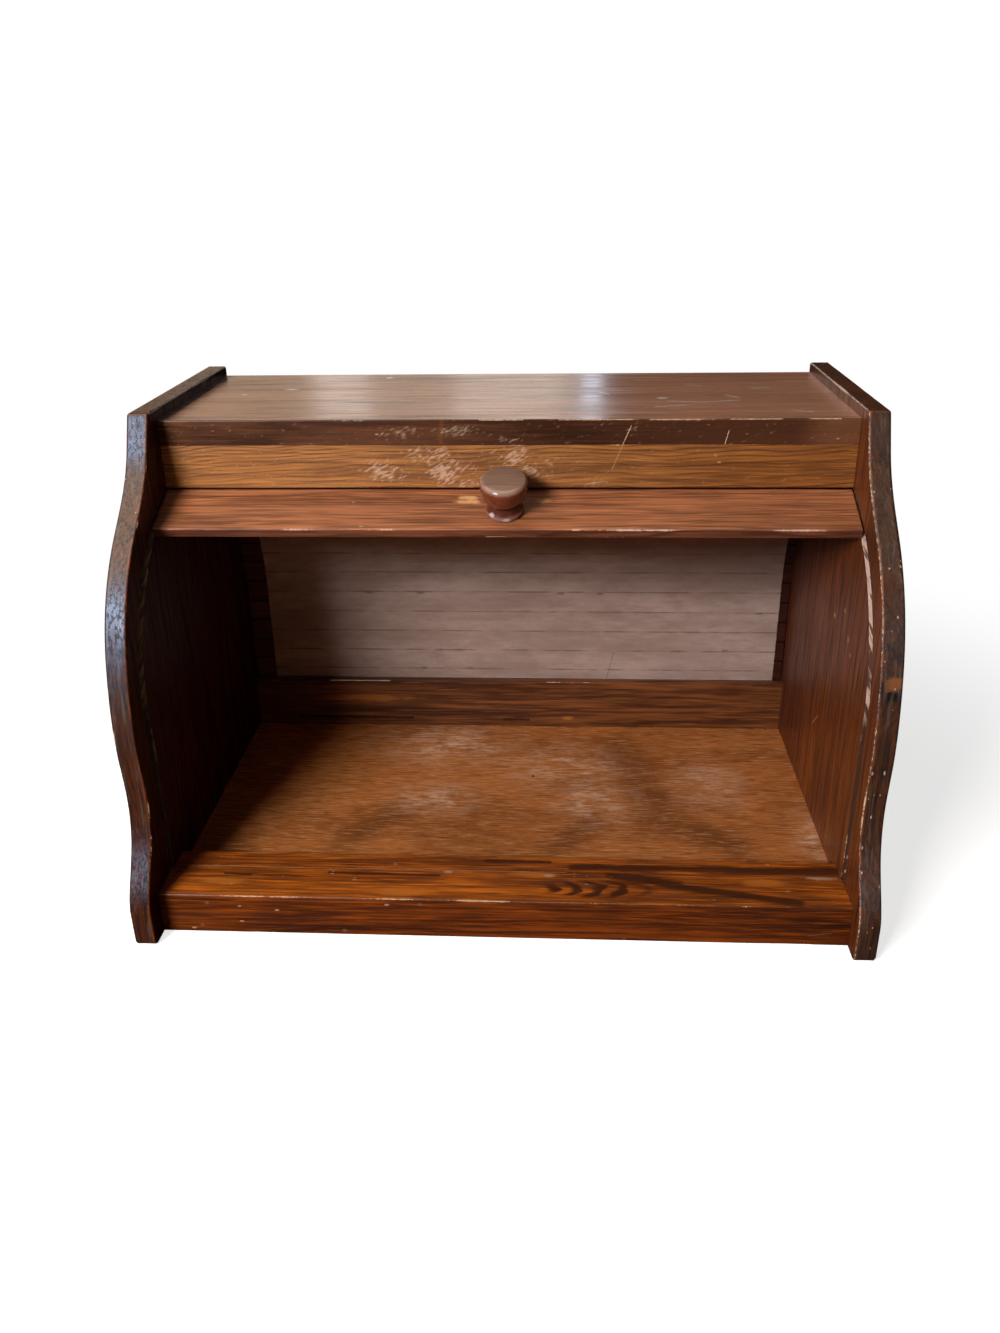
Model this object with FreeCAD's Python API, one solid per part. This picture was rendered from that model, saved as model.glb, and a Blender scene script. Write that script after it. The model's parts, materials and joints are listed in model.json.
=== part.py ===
import FreeCAD, Part
import math
import os
from FreeCAD import Vector

# Roll-top bread box: two shaped side panels carry a top board, a fascia, a floor and two rails, and
# a curtain of wooden slats glued to canvas runs over an arched track from the front to the back.
# Millimetres, +X to the right, -Y to the front, +Z up. The origin is under the middle of the box.

# ---------------------------------------------------------------- driving dimensions
box_width = 450.0              # over both side panels
side_thickness = 13.0

# the arched track, drawn through the inner faces of the slats
arch_radius = 112.5
front_run = 109.3              # straight stretch at the front, from the landing to the arch
open_angle = 57.4              # degrees of arch that the open curtain leaves bare, from the front

# the curtain
slat_count = 17
slat_thickness = 6.0
slat_crown = 0.9               # how far the rounded outer face rises
slat_gap = 1.2
lead_rail_width = 39.0
lead_gap = 1.7                 # between the lead rail and the first slat
lead_easing = 1.2              # rounding of the lead rail's outer edges
canvas_thickness = 0.6
canvas_bare_left = 16.0        # slat ends left bare by the canvas
canvas_bare_right = 7.0
canvas_hem = 6.0               # bare wood below the canvas on the lead rail
curtain_end_gap = 0.4          # between a slat's end and the side panel

# the grooves that guide the curtain
groove_depth = 5.5
groove_inside = 0.5            # groove wall to the inner face of a slat
groove_outside = 0.6           # groove wall to the outer face of a slat
groove_engagement = 4.4        # how far a guided slat reaches into the groove
first_guided = 5               # these slats stay on the arch from open to closed,
last_guided = 12               # and so keep their ends in the grooves

# the outline of the side panels
front_land = 24.5              # wood in front of the curtain at the belly
toe_reach = 21.5               # the toe stands this far in front of the belly
brow_setback = 41.5            # the top front corner, in front of the arch's centre
foot_radius = 5.0
top_corner_radius = 2.0
edge_easing = 1.1

# the boards between the sides
top_thickness = 15.5
top_lip = 7.0                  # the sides rise this far above the top board
roof_gap = 24.4                # from the top of the curtain to the top board
fascia_setback = 12.6          # behind the top front corners
fascia_thickness = 11.0
fascia_clearance = 1.1         # over the curtain that runs below it
board_easing = 0.8
counter_gap = 0.8              # rails and back stay this far above the counter

front_rail_top = 28.7
front_rail_depth = 48.0
front_rail_setback = 15.2      # behind the toes
ledge_drop = 1.0               # lowered strip behind the curtain's landing
ledge_offset = 0.7             # from the curtain's inner face back to that strip
landing_gap = 0.5              # under the closed lead rail

back_rail_top = 57.4
back_rail_thickness = 20.0
tail_gap = 0.5                 # under the last slat of the open curtain

floor_top = 18.0
floor_thickness = 6.0
floor_housing = 5.0            # how deep the floor is let into the sides and rails
housing_clearance = 0.1
floor_end_gap = 0.4

back_thickness = 3.2
back_gap = 6.6                 # swing room behind the curtain
back_inset = 0.8               # back panel's edge to the outer face of a side
back_lift = 3.0                # back panel's bottom edge above the rails' undersides
back_drop = 5.5                # back panel's top edge below the top board's surface

# the knob and its screw
knob_height = 25.0
knob_radius = 14.4
knob_base_radius = 11.0
knob_neck_radius = 10.1
knob_dome = 0.7
knob_up = 17.0                 # axis above the lead rail's lower edge
knob_across = 1.3              # axis to the right of the box's middle
screw_radius = 1.9
screw_head_radius = 3.6
screw_head_height = 2.2
screw_bite = 15.0              # thread in the knob
bore_clearance = 0.05

# nails
nail_radius = 0.9
nail_length = 35.0
nail_head_radius = 1.4
nail_head_height = 1.2
nail_sink = 0.3                # nail heads below the face of the side
brad_radius = 0.7
brad_length = 14.0
brad_head_radius = 1.5
brad_head_height = 0.8
brad_count = 7

# ---------------------------------------------------------------- sizes that follow
curtain_room = arch_radius + slat_thickness
depth = toe_reach + front_land + arch_radius + curtain_room + back_gap + back_thickness
toe_y = -depth / 2
curtain_front_y = toe_y + toe_reach + front_land
arch_y = curtain_front_y + arch_radius
curtain_back_y = arch_y + arch_radius
brow_y = arch_y - brow_setback
fascia_y = brow_y + fascia_setback
side_back_y = depth / 2 - back_thickness

landing_z = front_rail_top + landing_gap
arch_z = landing_z + front_run
tail_z = back_rail_top + tail_gap
roof_z = arch_z + curtain_room + roof_gap
board_top_z = roof_z + top_thickness
side_height = board_top_z + top_lip

inner_x = box_width / 2 - side_thickness
outer_x = box_width / 2

arch_start = front_run
arch_end = arch_start + math.pi * arch_radius
track_length = arch_end + arch_z - tail_z
travel = front_run + math.radians(open_angle) * arch_radius
curtain_length = track_length - travel
slat_pitch = (curtain_length - lead_rail_width - lead_gap + slat_gap) / slat_count
slat_width = slat_pitch - slat_gap


# ---------------------------------------------------------------- helpers
def box(x0, x1, y0, y1, z0, z1):
    """A block between two corners."""
    return Part.makeBox(x1 - x0, y1 - y0, z1 - z0, Vector(x0, y0, z0))


def prism(edges, x0, x1):
    """An outline drawn in the plane x = x0, carried to x1."""
    return Part.Face(Part.Wire(edges)).extrude(Vector(x1 - x0, 0, 0))


def line(p, q):
    return Part.makeLine(p, q)


def arc(p, q, r):
    """An arc from p through q to r."""
    return Part.Arc(p, q, r).toShape()


def rod(radius, start, direction, length):
    return Part.makeCylinder(radius, length, start, direction)


def edges_where(shape, test):
    """The edges whose two ends and middle all pass a test."""
    chosen = []
    for edge in shape.Edges:
        middle = edge.valueAt((edge.FirstParameter + edge.LastParameter) / 2)
        points = [vertex.Point for vertex in edge.Vertexes] + [middle]
        if all(test(point) for point in points):
            chosen.append(edge)
    return chosen


def near(a, b):
    return abs(a - b) < 0.01


def mirrored(shape):
    return shape.mirror(Vector(0, 0, 0), Vector(1, 0, 0))


# ---------------------------------------------------------------- the track
def track_point(s):
    """The point of the track a length s from its front landing."""
    if s <= arch_start:
        return Vector(0, curtain_front_y, landing_z + s)
    if s <= arch_end:
        turn = (s - arch_start) / arch_radius
        return Vector(0, arch_y - arch_radius * math.cos(turn), arch_z + arch_radius * math.sin(turn))
    return Vector(0, curtain_back_y, arch_z - (s - arch_end))


def strip_pose(start, end):
    """The middle of a strip that spans two lengths of the track, and its tilt from upright."""
    p = track_point(start)
    q = track_point(end)
    tilt = math.atan2(q.y - p.y, q.z - p.z)
    return (p + q) * 0.5, tilt % (2 * math.pi)


def laid_on_track(shape, start, end):
    """A strip modelled upright about the origin, facing -Y, laid between two lengths of the track."""
    middle, tilt = strip_pose(start, end)
    laid = shape.copy()
    laid.rotate(Vector(0, 0, 0), Vector(1, 0, 0), -math.degrees(tilt))
    laid.translate(middle)
    return laid


def slat_span(number, shift):
    """Track lengths of a slat's two edges; shift is 0 for the closed curtain and travel when open."""
    start = shift + lead_rail_width + lead_gap + (number - 1) * slat_pitch
    return start, start + slat_width


def is_guided(number):
    return first_guided <= number <= last_guided


def track_band(x0, x1, inside, outside, front_z, back_z):
    """A solid along the track, from so far inside its line to so far outside it."""
    def across(radius, z_front, z_back):
        ends = (Vector(x0, arch_y - radius, z_front), Vector(x0, arch_y + radius, z_back))
        springs = (Vector(x0, arch_y - radius, arch_z), Vector(x0, arch_y + radius, arch_z))
        return ends, springs, Vector(x0, arch_y, arch_z + radius)

    outer_ends, outer_springs, outer_top = across(arch_radius + outside, front_z, back_z)
    inner_ends, inner_springs, inner_top = across(arch_radius - inside, front_z, back_z)
    edges = [
        line(outer_ends[0], outer_springs[0]),
        arc(outer_springs[0], outer_top, outer_springs[1]),
        line(outer_springs[1], outer_ends[1]),
        line(outer_ends[1], inner_ends[1]),
        line(inner_ends[1], inner_springs[1]),
        arc(inner_springs[1], inner_top, inner_springs[0]),
        line(inner_springs[0], inner_ends[0]),
        line(inner_ends[0], outer_ends[0]),
    ]
    return prism(edges, x0, x1)


# ---------------------------------------------------------------- nails
def side_nail_places():
    """Where nails pass through a side into each board, as (y, z)."""
    top_z = roof_z + top_thickness / 2
    fascia_bottom = roof_z - fascia_height()
    rail_z = (counter_gap + front_rail_top) / 2
    rail_y = toe_y + front_rail_setback
    back_y = side_back_y - back_rail_thickness / 2
    board_y = fascia_y + fascia_thickness
    return [
        (board_y + (side_back_y - board_y) * share, top_z) for share in (0.15, 0.5, 0.85)
    ] + [
        (fascia_y + fascia_thickness / 2, (roof_z + fascia_bottom) / 2 + nail_head_radius),
        (rail_y + front_rail_depth * 0.2, rail_z),
        (rail_y + front_rail_depth * 0.7, front_rail_top - (front_rail_top - floor_top) / 2),
        (back_y, back_rail_top * 0.45),
        (back_y, back_rail_top * 0.8),
    ]


def nail(y, z, clearance):
    """One finishing nail driven in from the right, or the hole for it."""
    inward = Vector(-1, 0, 0)
    head_x = outer_x - nail_sink
    reach = nail_length + clearance
    shank = rod(nail_radius + clearance, Vector(head_x, y, z), inward, reach)
    head = rod(nail_head_radius + clearance, Vector(head_x, y, z), inward, nail_head_height + clearance)
    return shank.fuse(head).removeSplitter()


def nail_hole(y, z):
    sink = rod(nail_head_radius + bore_clearance, Vector(outer_x, y, z), Vector(-1, 0, 0), nail_sink)
    return nail(y, z, bore_clearance).fuse(sink)


def without_nails(shape):
    """A board with the nail holes of both sides cut in it."""
    holes = [nail_hole(y, z) for y, z in side_nail_places()]
    return shape.cut(Part.makeCompound(holes + [mirrored(hole) for hole in holes]))


def brad_places():
    """Where brads hold the back panel, as (x, z): into the top board, the back rail and the sides."""
    span = inner_x * 2 - 4 * back_rail_thickness
    xs = [-span / 2 + span * k / (brad_count - 1) for k in range(brad_count)]
    rows = [(x, roof_z + top_thickness * 0.4) for x in xs]
    rows += [(x, back_rail_top / 2) for x in xs]
    side_x = inner_x + groove_depth + (side_thickness - groove_depth) * 0.4
    heights = [tail_z + (roof_z - tail_z) * share for share in (0.2, 0.5, 0.8)]
    return rows + [(sign * side_x, z) for sign in (-1, 1) for z in heights]


def brad(x, z, clearance):
    inward = Vector(0, -1, 0)
    head_at = Vector(x, depth / 2, z)
    shank = rod(brad_radius + clearance, head_at, inward, brad_length + clearance)
    head = rod(brad_head_radius + clearance, head_at, inward, brad_head_height + clearance)
    return shank.fuse(head).removeSplitter()


def without_brads(shape):
    return shape.cut(Part.makeCompound([brad(x, z, bore_clearance) for x, z in brad_places()]))


# ---------------------------------------------------------------- side panels
def side_outline():
    """The panel's edge: straight foot, back and top, and an S-curved front with a belly and a waist."""
    reach = brow_y - toe_y
    # shares of the reach in front of the top corner, and of the height
    curve = [(0.205, 0.868), (0.470, 0.778), (0.690, 0.660), (0.795, 0.520), (0.816, 0.412),
             (0.797, 0.308), (0.838, 0.213), (0.935, 0.143), (0.995, 0.094)]
    shoulder = Vector(inner_x, brow_y - reach * 0.081, side_height * 0.936)
    brow = Vector(inner_x, brow_y, side_height)
    toe = Vector(inner_x, toe_y, front_rail_top * 0.8)
    points = [Vector(inner_x, brow_y - reach * ahead, side_height * height) for ahead, height in curve]
    front = Part.BSplineCurve()
    front.interpolate([shoulder] + points + [toe])
    heel = Vector(inner_x, side_back_y, 0)
    top_back = Vector(inner_x, side_back_y, side_height)
    sole = Vector(inner_x, toe_y, 0)
    return [
        line(brow, shoulder),
        front.toShape(),
        line(toe, sole),
        line(sole, heel),
        line(heel, top_back),
        line(top_back, brow),
    ]


def side_panel():
    """The right-hand side, with its curtain groove, floor housing and nail holes."""
    panel = prism(side_outline(), inner_x, outer_x)

    def lies_across(y, z):
        return edges_where(panel, lambda p: near(p.y, y) and near(p.z, z))

    feet = lies_across(toe_y, 0) + lies_across(side_back_y, 0)
    panel = panel.makeFillet(foot_radius, feet)
    tops = lies_across(brow_y, side_height) + lies_across(side_back_y, side_height)
    panel = panel.makeFillet(top_corner_radius, tops)
    outer_edges = edges_where(panel, lambda p: near(p.x, outer_x))
    inner_edges = edges_where(panel, lambda p: near(p.x, inner_x))
    panel = panel.makeFillet(edge_easing, outer_edges + inner_edges)

    cut_x = inner_x + groove_depth
    outside = slat_thickness + groove_outside
    groove = track_band(inner_x - 1, cut_x, groove_inside, outside,
                        front_rail_top - ledge_drop, back_rail_top)
    rail_back_y = toe_y + front_rail_setback + front_rail_depth
    back_rail_y = side_back_y - back_rail_thickness
    housing = box(inner_x - 1, inner_x + floor_housing,
                  rail_back_y - floor_housing, back_rail_y + floor_housing,
                  floor_top - floor_thickness - housing_clearance, floor_top + housing_clearance)
    return without_brads(without_nails(panel.cut(groove).cut(housing)))


# ---------------------------------------------------------------- boards, rails, floor and back
def top_board():
    board = box(-inner_x, inner_x, fascia_y, side_back_y, roof_z, board_top_z)
    front_edge = edges_where(board, lambda p: near(p.y, fascia_y) and near(p.z, board_top_z))
    return without_brads(without_nails(board.makeFillet(board_easing, front_edge)))


def fascia_height():
    """Down to where the fascia's front face meets the room that the curtain needs."""
    room = curtain_room + fascia_clearance
    return roof_z - arch_z - math.sqrt(room ** 2 - (arch_y - fascia_y) ** 2)


def front_fascia():
    """The board under the top's front edge, hollowed below to follow the curtain."""
    board = box(-inner_x, inner_x, fascia_y, fascia_y + fascia_thickness, roof_z - fascia_height(), roof_z)
    curtain_space = rod(curtain_room + fascia_clearance, Vector(-inner_x, arch_y, arch_z),
                        Vector(1, 0, 0), inner_x * 2)
    return without_nails(board.cut(curtain_space))


def floor_groove():
    """The slot in both rails that takes the edges of the floor."""
    rail_back_y = toe_y + front_rail_setback + front_rail_depth
    back_rail_y = side_back_y - back_rail_thickness
    return box(-inner_x, inner_x, rail_back_y - floor_housing, back_rail_y + floor_housing,
               floor_top - floor_thickness - housing_clearance, floor_top + housing_clearance)


def front_rail():
    """The rail that the closed curtain lands on, with a lowered strip behind the landing."""
    front_y = toe_y + front_rail_setback
    back_y = front_y + front_rail_depth
    rail = box(-inner_x, inner_x, front_y, back_y, counter_gap, front_rail_top)
    arrises = edges_where(rail, lambda p: near(p.y, front_y) and abs(p.x) < inner_x + 1 and p.z > 0
                          and (near(p.z, front_rail_top) or near(p.z, counter_gap)))
    rail = rail.makeFillet(board_easing, arrises)
    ledge = box(-inner_x, inner_x, curtain_front_y + ledge_offset, back_y,
                front_rail_top - ledge_drop, front_rail_top)
    return without_nails(rail.cut(ledge).cut(floor_groove()))


def back_rail():
    front_y = side_back_y - back_rail_thickness
    rail = box(-inner_x, inner_x, front_y, side_back_y, counter_gap, back_rail_top)
    arris = edges_where(rail, lambda p: near(p.y, front_y) and near(p.z, back_rail_top))
    rail = rail.makeFillet(board_easing, arris)
    return without_brads(without_nails(rail.cut(floor_groove())))


def floor_board():
    """Plywood, let into the sides and both rails."""
    reach = floor_housing - floor_end_gap
    rail_back_y = toe_y + front_rail_setback + front_rail_depth
    back_rail_y = side_back_y - back_rail_thickness
    return box(-inner_x - reach, inner_x + reach, rail_back_y - reach, back_rail_y + reach,
               floor_top - floor_thickness, floor_top)


def back_panel():
    """Thin board nailed over the back edges of the sides, the top and the back rail."""
    half = outer_x - back_inset
    panel = box(-half, half, side_back_y, depth / 2, counter_gap + back_lift, board_top_z - back_drop)
    return without_brads(panel)


# ---------------------------------------------------------------- the curtain
def strip_outline(x, width, crown):
    """A slat's section, upright, with its flat inner face on the plane y = 0."""
    shoulder = -(slat_thickness - crown)
    bottom_in = Vector(x, 0, -width / 2)
    bottom_out = Vector(x, shoulder, -width / 2)
    top_out = Vector(x, shoulder, width / 2)
    top_in = Vector(x, 0, width / 2)
    if crown > 0:
        face = arc(bottom_out, Vector(x, -slat_thickness, 0), top_out)
    else:
        face = line(bottom_out, top_out)
    return [line(bottom_in, bottom_out), face, line(top_out, top_in), line(top_in, bottom_in)]


def slat(number):
    reach = inner_x + groove_engagement if is_guided(number) else inner_x - curtain_end_gap
    strip = prism(strip_outline(-reach, slat_width, slat_crown), -reach, reach)
    return laid_on_track(strip, *slat_span(number, travel))


def canvas(bottom, top):
    """The canvas glued to the inner face of one strip, between two heights on it."""
    return box(-inner_x + canvas_bare_left, inner_x - canvas_bare_right, 0, canvas_thickness, bottom, top)


def slat_canvas(number):
    return laid_on_track(canvas(-slat_width / 2, slat_width / 2), *slat_span(number, travel))


def on_lead_rail(shape):
    return laid_on_track(shape, travel, travel + lead_rail_width)


def knob_axis_z():
    return knob_up - lead_rail_width / 2


def lead_rail():
    """The wide flat strip at the curtain's free edge, bored for the knob's screw."""
    reach = inner_x - curtain_end_gap
    rail = prism(strip_outline(-reach, lead_rail_width, 0), -reach, reach)
    arrises = edges_where(rail, lambda p: near(p.y, -slat_thickness) and near(abs(p.z), lead_rail_width / 2))
    rail = rail.makeFillet(lead_easing, arrises)
    bore = rod(screw_radius + bore_clearance, Vector(knob_across, 1, knob_axis_z()), Vector(0, -1, 0),
               slat_thickness + 2)
    return on_lead_rail(rail.cut(bore))


def lead_canvas():
    """The canvas's end on the lead rail, above the screw."""
    screw_top = knob_axis_z() + screw_head_radius
    return on_lead_rail(canvas(screw_top + canvas_hem / 2, lead_rail_width / 2))


def knob():
    """A turned mushroom knob: rounded base, waisted neck, and a wide cap with a slightly domed face."""
    def at(radius, height):
        return Vector(knob_across + radius, -slat_thickness - height, knob_axis_z())

    cap_under = knob_height * 0.56
    cap_rim = knob_height * 0.82
    face_radius = knob_radius - 1.8
    face_edge = knob_height - knob_dome
    sphere = (face_radius ** 2 + knob_dome ** 2) / (2 * knob_dome)
    halfway = math.asin(face_radius / sphere) / 2
    bore_end = screw_bite + 1
    bore_radius = screw_radius + bore_clearance
    profile = [
        line(at(bore_radius, 0), at(knob_base_radius - 1.2, 0)),
        arc(at(knob_base_radius - 1.2, 0), at(knob_base_radius, knob_height * 0.08),
            at(knob_base_radius - 0.5, knob_height * 0.17)),
        arc(at(knob_base_radius - 0.5, knob_height * 0.17), at(knob_neck_radius, knob_height * 0.30),
            at(knob_neck_radius + 1.0, knob_height * 0.42)),
        line(at(knob_neck_radius + 1.0, knob_height * 0.42), at(knob_radius - 0.9, cap_under)),
        arc(at(knob_radius - 0.9, cap_under), at(knob_radius, cap_rim), at(face_radius, face_edge)),
        arc(at(face_radius, face_edge),
            at(sphere * math.sin(halfway), knob_height - sphere * (1 - math.cos(halfway))),
            at(0, knob_height)),
        line(at(0, knob_height), at(0, bore_end)),
        line(at(0, bore_end), at(bore_radius, bore_end)),
        line(at(bore_radius, bore_end), at(bore_radius, 0)),
    ]
    face = Part.Face(Part.Wire(profile))
    turned = face.revolve(Vector(knob_across, 0, knob_axis_z()), Vector(0, 1, 0), 360)
    return on_lead_rail(turned)


def knob_screw():
    """A pan-head screw from the inner face of the lead rail into the knob."""
    seat = Vector(knob_across, 0, knob_axis_z())
    outward = Vector(0, -1, 0)
    shank = rod(screw_radius, seat, outward, slat_thickness + screw_bite)
    head = rod(screw_head_radius, seat, Vector(0, 1, 0), screw_head_height)
    rim = edges_where(head, lambda p: near(p.y, screw_head_height))
    head = head.makeFillet(screw_head_height * 0.5, rim)
    return on_lead_rail(shank.fuse(head).removeSplitter())


# ---------------------------------------------------------------- the whole box
def build():
    """Every piece of the box by name."""
    right = side_panel()
    nails = [nail(y, z, 0) for y, z in side_nail_places()]
    pieces = {
        "side_panel_right": right,
        "side_panel_left": mirrored(right),
        "top_board": top_board(),
        "front_fascia": front_fascia(),
        "front_rail": front_rail(),
        "back_rail": back_rail(),
        "floor_board": floor_board(),
        "back_panel": back_panel(),
        "side_nails": Part.makeCompound(nails + [mirrored(one) for one in nails]),
        "back_panel_brads": Part.makeCompound([brad(x, z, 0) for x, z in brad_places()]),
        "lead_rail": lead_rail(),
        "lead_canvas": lead_canvas(),
        "knob": knob(),
        "knob_screw": knob_screw(),
    }
    for number in range(1, slat_count + 1):
        pieces["slat_%02d" % number] = slat(number)
        pieces["canvas_%02d" % number] = slat_canvas(number)
    return pieces


os.makedirs("parts", exist_ok=True)
for name, shape in build().items():
    shape.exportStep("parts/" + name + ".step")
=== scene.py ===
import json
import math

import bpy
import numpy as np
from mathutils import Matrix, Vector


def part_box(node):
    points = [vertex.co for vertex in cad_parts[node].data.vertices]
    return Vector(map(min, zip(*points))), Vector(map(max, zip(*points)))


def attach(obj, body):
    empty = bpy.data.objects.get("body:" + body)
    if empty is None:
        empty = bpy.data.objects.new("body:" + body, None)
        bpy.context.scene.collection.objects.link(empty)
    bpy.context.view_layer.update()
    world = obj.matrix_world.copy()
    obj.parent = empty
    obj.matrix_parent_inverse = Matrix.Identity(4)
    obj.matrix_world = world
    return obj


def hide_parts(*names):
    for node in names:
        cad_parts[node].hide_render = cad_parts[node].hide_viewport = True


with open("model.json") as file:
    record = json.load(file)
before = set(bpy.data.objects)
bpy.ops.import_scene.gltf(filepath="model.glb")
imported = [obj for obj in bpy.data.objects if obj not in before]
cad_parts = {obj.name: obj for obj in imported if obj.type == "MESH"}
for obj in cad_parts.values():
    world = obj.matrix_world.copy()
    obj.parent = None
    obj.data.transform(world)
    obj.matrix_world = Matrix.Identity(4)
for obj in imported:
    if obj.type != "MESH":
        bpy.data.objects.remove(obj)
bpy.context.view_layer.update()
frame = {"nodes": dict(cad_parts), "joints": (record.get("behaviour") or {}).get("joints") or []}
nodes = frame["nodes"]
MM = 0.001

# ---------------------------------------------------------------- camera
# A hand-held camera a little above the box and just right of its middle, looking down into it.
# Its tilt is given as turns to the left, down and about the line of sight.
EYE = (0.0360, -0.6675, 0.4380)
YAW, PITCH, ROLL = np.radians([-3.523, 24.955, 0.978])
FOCAL_PIXELS = 1087.6
FRAME_HEIGHT = 1333

look = np.array([math.sin(YAW) * math.cos(PITCH), math.cos(YAW) * math.cos(PITCH), -math.sin(PITCH)])
level = np.array([math.cos(YAW), -math.sin(YAW), 0.0])
plumb = np.cross(look, level)
right = level * math.cos(ROLL) + plumb * math.sin(ROLL)
down = plumb * math.cos(ROLL) - level * math.sin(ROLL)
placed = np.eye(4)
placed[:3, 0], placed[:3, 1], placed[:3, 2], placed[:3, 3] = right, -down, -look, EYE

camera_data = bpy.data.cameras.new("camera")
camera_data.lens = FOCAL_PIXELS * camera_data.sensor_width / FRAME_HEIGHT
camera = bpy.data.objects.new("camera", camera_data)
camera.matrix_world = Matrix(placed.tolist())
bpy.context.scene.collection.objects.link(camera)
bpy.context.scene.camera = camera
bpy.context.scene.view_settings.view_transform = "Standard"


# ---------------------------------------------------------------- floor, backdrop and lights
# A plain pale floor under the box that fades to white, and white behind it. Daylight comes from one
# window at the front left, with a dim room in front. The sky in that window, a far wall, a ceiling
# and a doorway behind, which is bright beside its frame, are there for the gloss.
class Finish:
    """A material in the making: every call adds shader nodes and returns what they give."""

    def __init__(self, name, block=None):
        self.material = block or bpy.data.materials.new(name)
        self.material.use_nodes = True
        self.tree = self.material.node_tree
        self.tree.nodes.clear()

    def node(self, kind, inputs=None, **settings):
        made = self.tree.nodes.new("ShaderNode" + kind)
        for key, value in settings.items():
            setattr(made, key, value)
        for key, value in (inputs or {}).items():
            self.give(made.inputs[key], value)
        return made

    def give(self, socket, value):
        """Links a socket to an output, or sets it to a plain value or colour."""
        if isinstance(value, bpy.types.NodeSocket):
            self.tree.links.new(value, socket)
        elif isinstance(value, tuple) and socket.type == "RGBA":
            socket.default_value = value + (1.0,)
        else:
            socket.default_value = value

    def maths(self, operation, a, b=0.0):
        made = self.node("Math", operation=operation)
        for socket, value in zip(made.inputs, (a, b)):
            self.give(socket, value)
        return made.outputs[0]

    def times(self, a, b):
        return self.maths("MULTIPLY", a, b)

    def plus(self, a, b):
        return self.maths("ADD", a, b)

    def most(self, *values):
        """The greatest of several values."""
        top = values[0]
        for value in values[1:]:
            top = self.maths("MAXIMUM", top, value)
        return top

    def vector(self, operation, a, b=(0.0, 0.0, 0.0), out=0):
        return self.node("VectorMath", {0: a, 1: b}, operation=operation).outputs[out]

    def step(self, value, low, high, to_low=0.0, to_high=1.0):
        """Rises smoothly from to_low to to_high as the value goes from low to high."""
        made = self.node("MapRange", {"Value": value, "From Min": low, "From Max": high,
                                      "To Min": to_low, "To Max": to_high})
        made.interpolation_type = "SMOOTHSTEP"
        return made.outputs[0]

    def mix(self, share, a, b, blend="MIX"):
        """The colour a, going to the colour b as share goes from 0 to 1."""
        made = self.node("Mix", data_type="RGBA", blend_type=blend)
        for index, value in ((0, share), (6, a), (7, b)):
            self.give(made.inputs[index], value)
        return made.outputs[2]

    def lay(self, share, tone):
        """Takes the finish's own colour to a tone as share goes from 0 to 1."""
        self.colour = self.mix(share, self.colour, tone)

    def dim(self, share, tone):
        """Multiplies the finish's own colour by a tone as share goes from 0 to 1."""
        self.colour = self.mix(share, self.colour, tone, "MULTIPLY")

    def where(self, centre=(0.0, 0.0, 0.0), turn=(0.0, 0.0, 0.0), stretch=(1.0, 1.0, 1.0)):
        """Object coordinates, moved so that centre is at their origin, then turned and stretched."""
        spot = self.vector("SUBTRACT", self.node("TexCoord").outputs["Object"], centre)
        if any(turn):
            spot = self.node("Mapping", {"Vector": spot, "Rotation": turn}).outputs[0]
        return self.vector("MULTIPLY", spot, stretch)

    def place(self, centre=(0.0, 0.0, 0.0)):
        """Object coordinates about a centre, as X, Y and Z apart."""
        return self.node("SeparateXYZ", {0: self.where(centre)}).outputs

    def noise(self, stretch, detail=2.0, roughness=0.55, centre=(0.0, 0.0, 0.0), turn=(0.0, 0.0, 0.0)):
        """Noise of about one lump per metre along each axis, times that axis's stretch."""
        return self.node("TexNoise", {"Vector": self.where(centre, turn, stretch), "Scale": 1.0,
                                      "Detail": detail, "Roughness": roughness}).outputs[0]

    def near(self, centre, reach):
        """1 at a point, falling to 0 at an ellipsoid of that reach about it."""
        spot = self.where(centre, stretch=tuple(1.0 / size for size in reach))
        return self.step(self.vector("LENGTH", spot, out="Value"), 1.0, 0.0)

    def stroke(self, start, end, width):
        """1 along the straight line between two points, falling to 0 at half its width away."""
        run = np.subtract(end, start)
        spot = self.where(start)
        share = self.times(self.vector("DOT_PRODUCT", spot, tuple(run), "Value"), float(1 / (run @ run)))
        share = self.node("Clamp", {"Value": share}).outputs[0]
        foot = self.node("VectorMath", {0: tuple(run), "Scale": share}, operation="SCALE").outputs[0]
        gap = self.vector("LENGTH", self.vector("SUBTRACT", spot, foot), out="Value")
        return self.step(gap, width / 2, 0.0)

    def mark(self, name):
        """A value kept on the mesh itself."""
        return self.node("Attribute", attribute_name=name).outputs["Fac"]

    def coat(self, rough, height, relief, depth, shine=0.5):
        """The finish's colour as a surface, with a small relief from a height."""
        bump = self.node("Bump", {"Strength": relief, "Distance": depth, "Height": height}).outputs[0]
        return self.surface(self.node("BsdfPrincipled", {
            "Base Color": self.colour, "Roughness": rough, "Normal": bump,
            "Specular IOR Level": shine}).outputs[0])

    def surface(self, shader):
        self.tree.links.new(shader, self.node("OutputMaterial").inputs["Surface"])
        return self.material


FLOOR_RADIUS, FLOOR_SIDES = 6.0, 96
SHADOW_NEAR, SHADOW_FAR = 0.30, 0.70   # between these the floor goes from lit paper to plain white
PAPER = (0.80, 0.80, 0.80)
PAPER_UNSEEN = (0.16, 0.14, 0.12)      # what the floor sends back at the box, as a darker room does
PAPER_GLOW = 0.75

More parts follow.
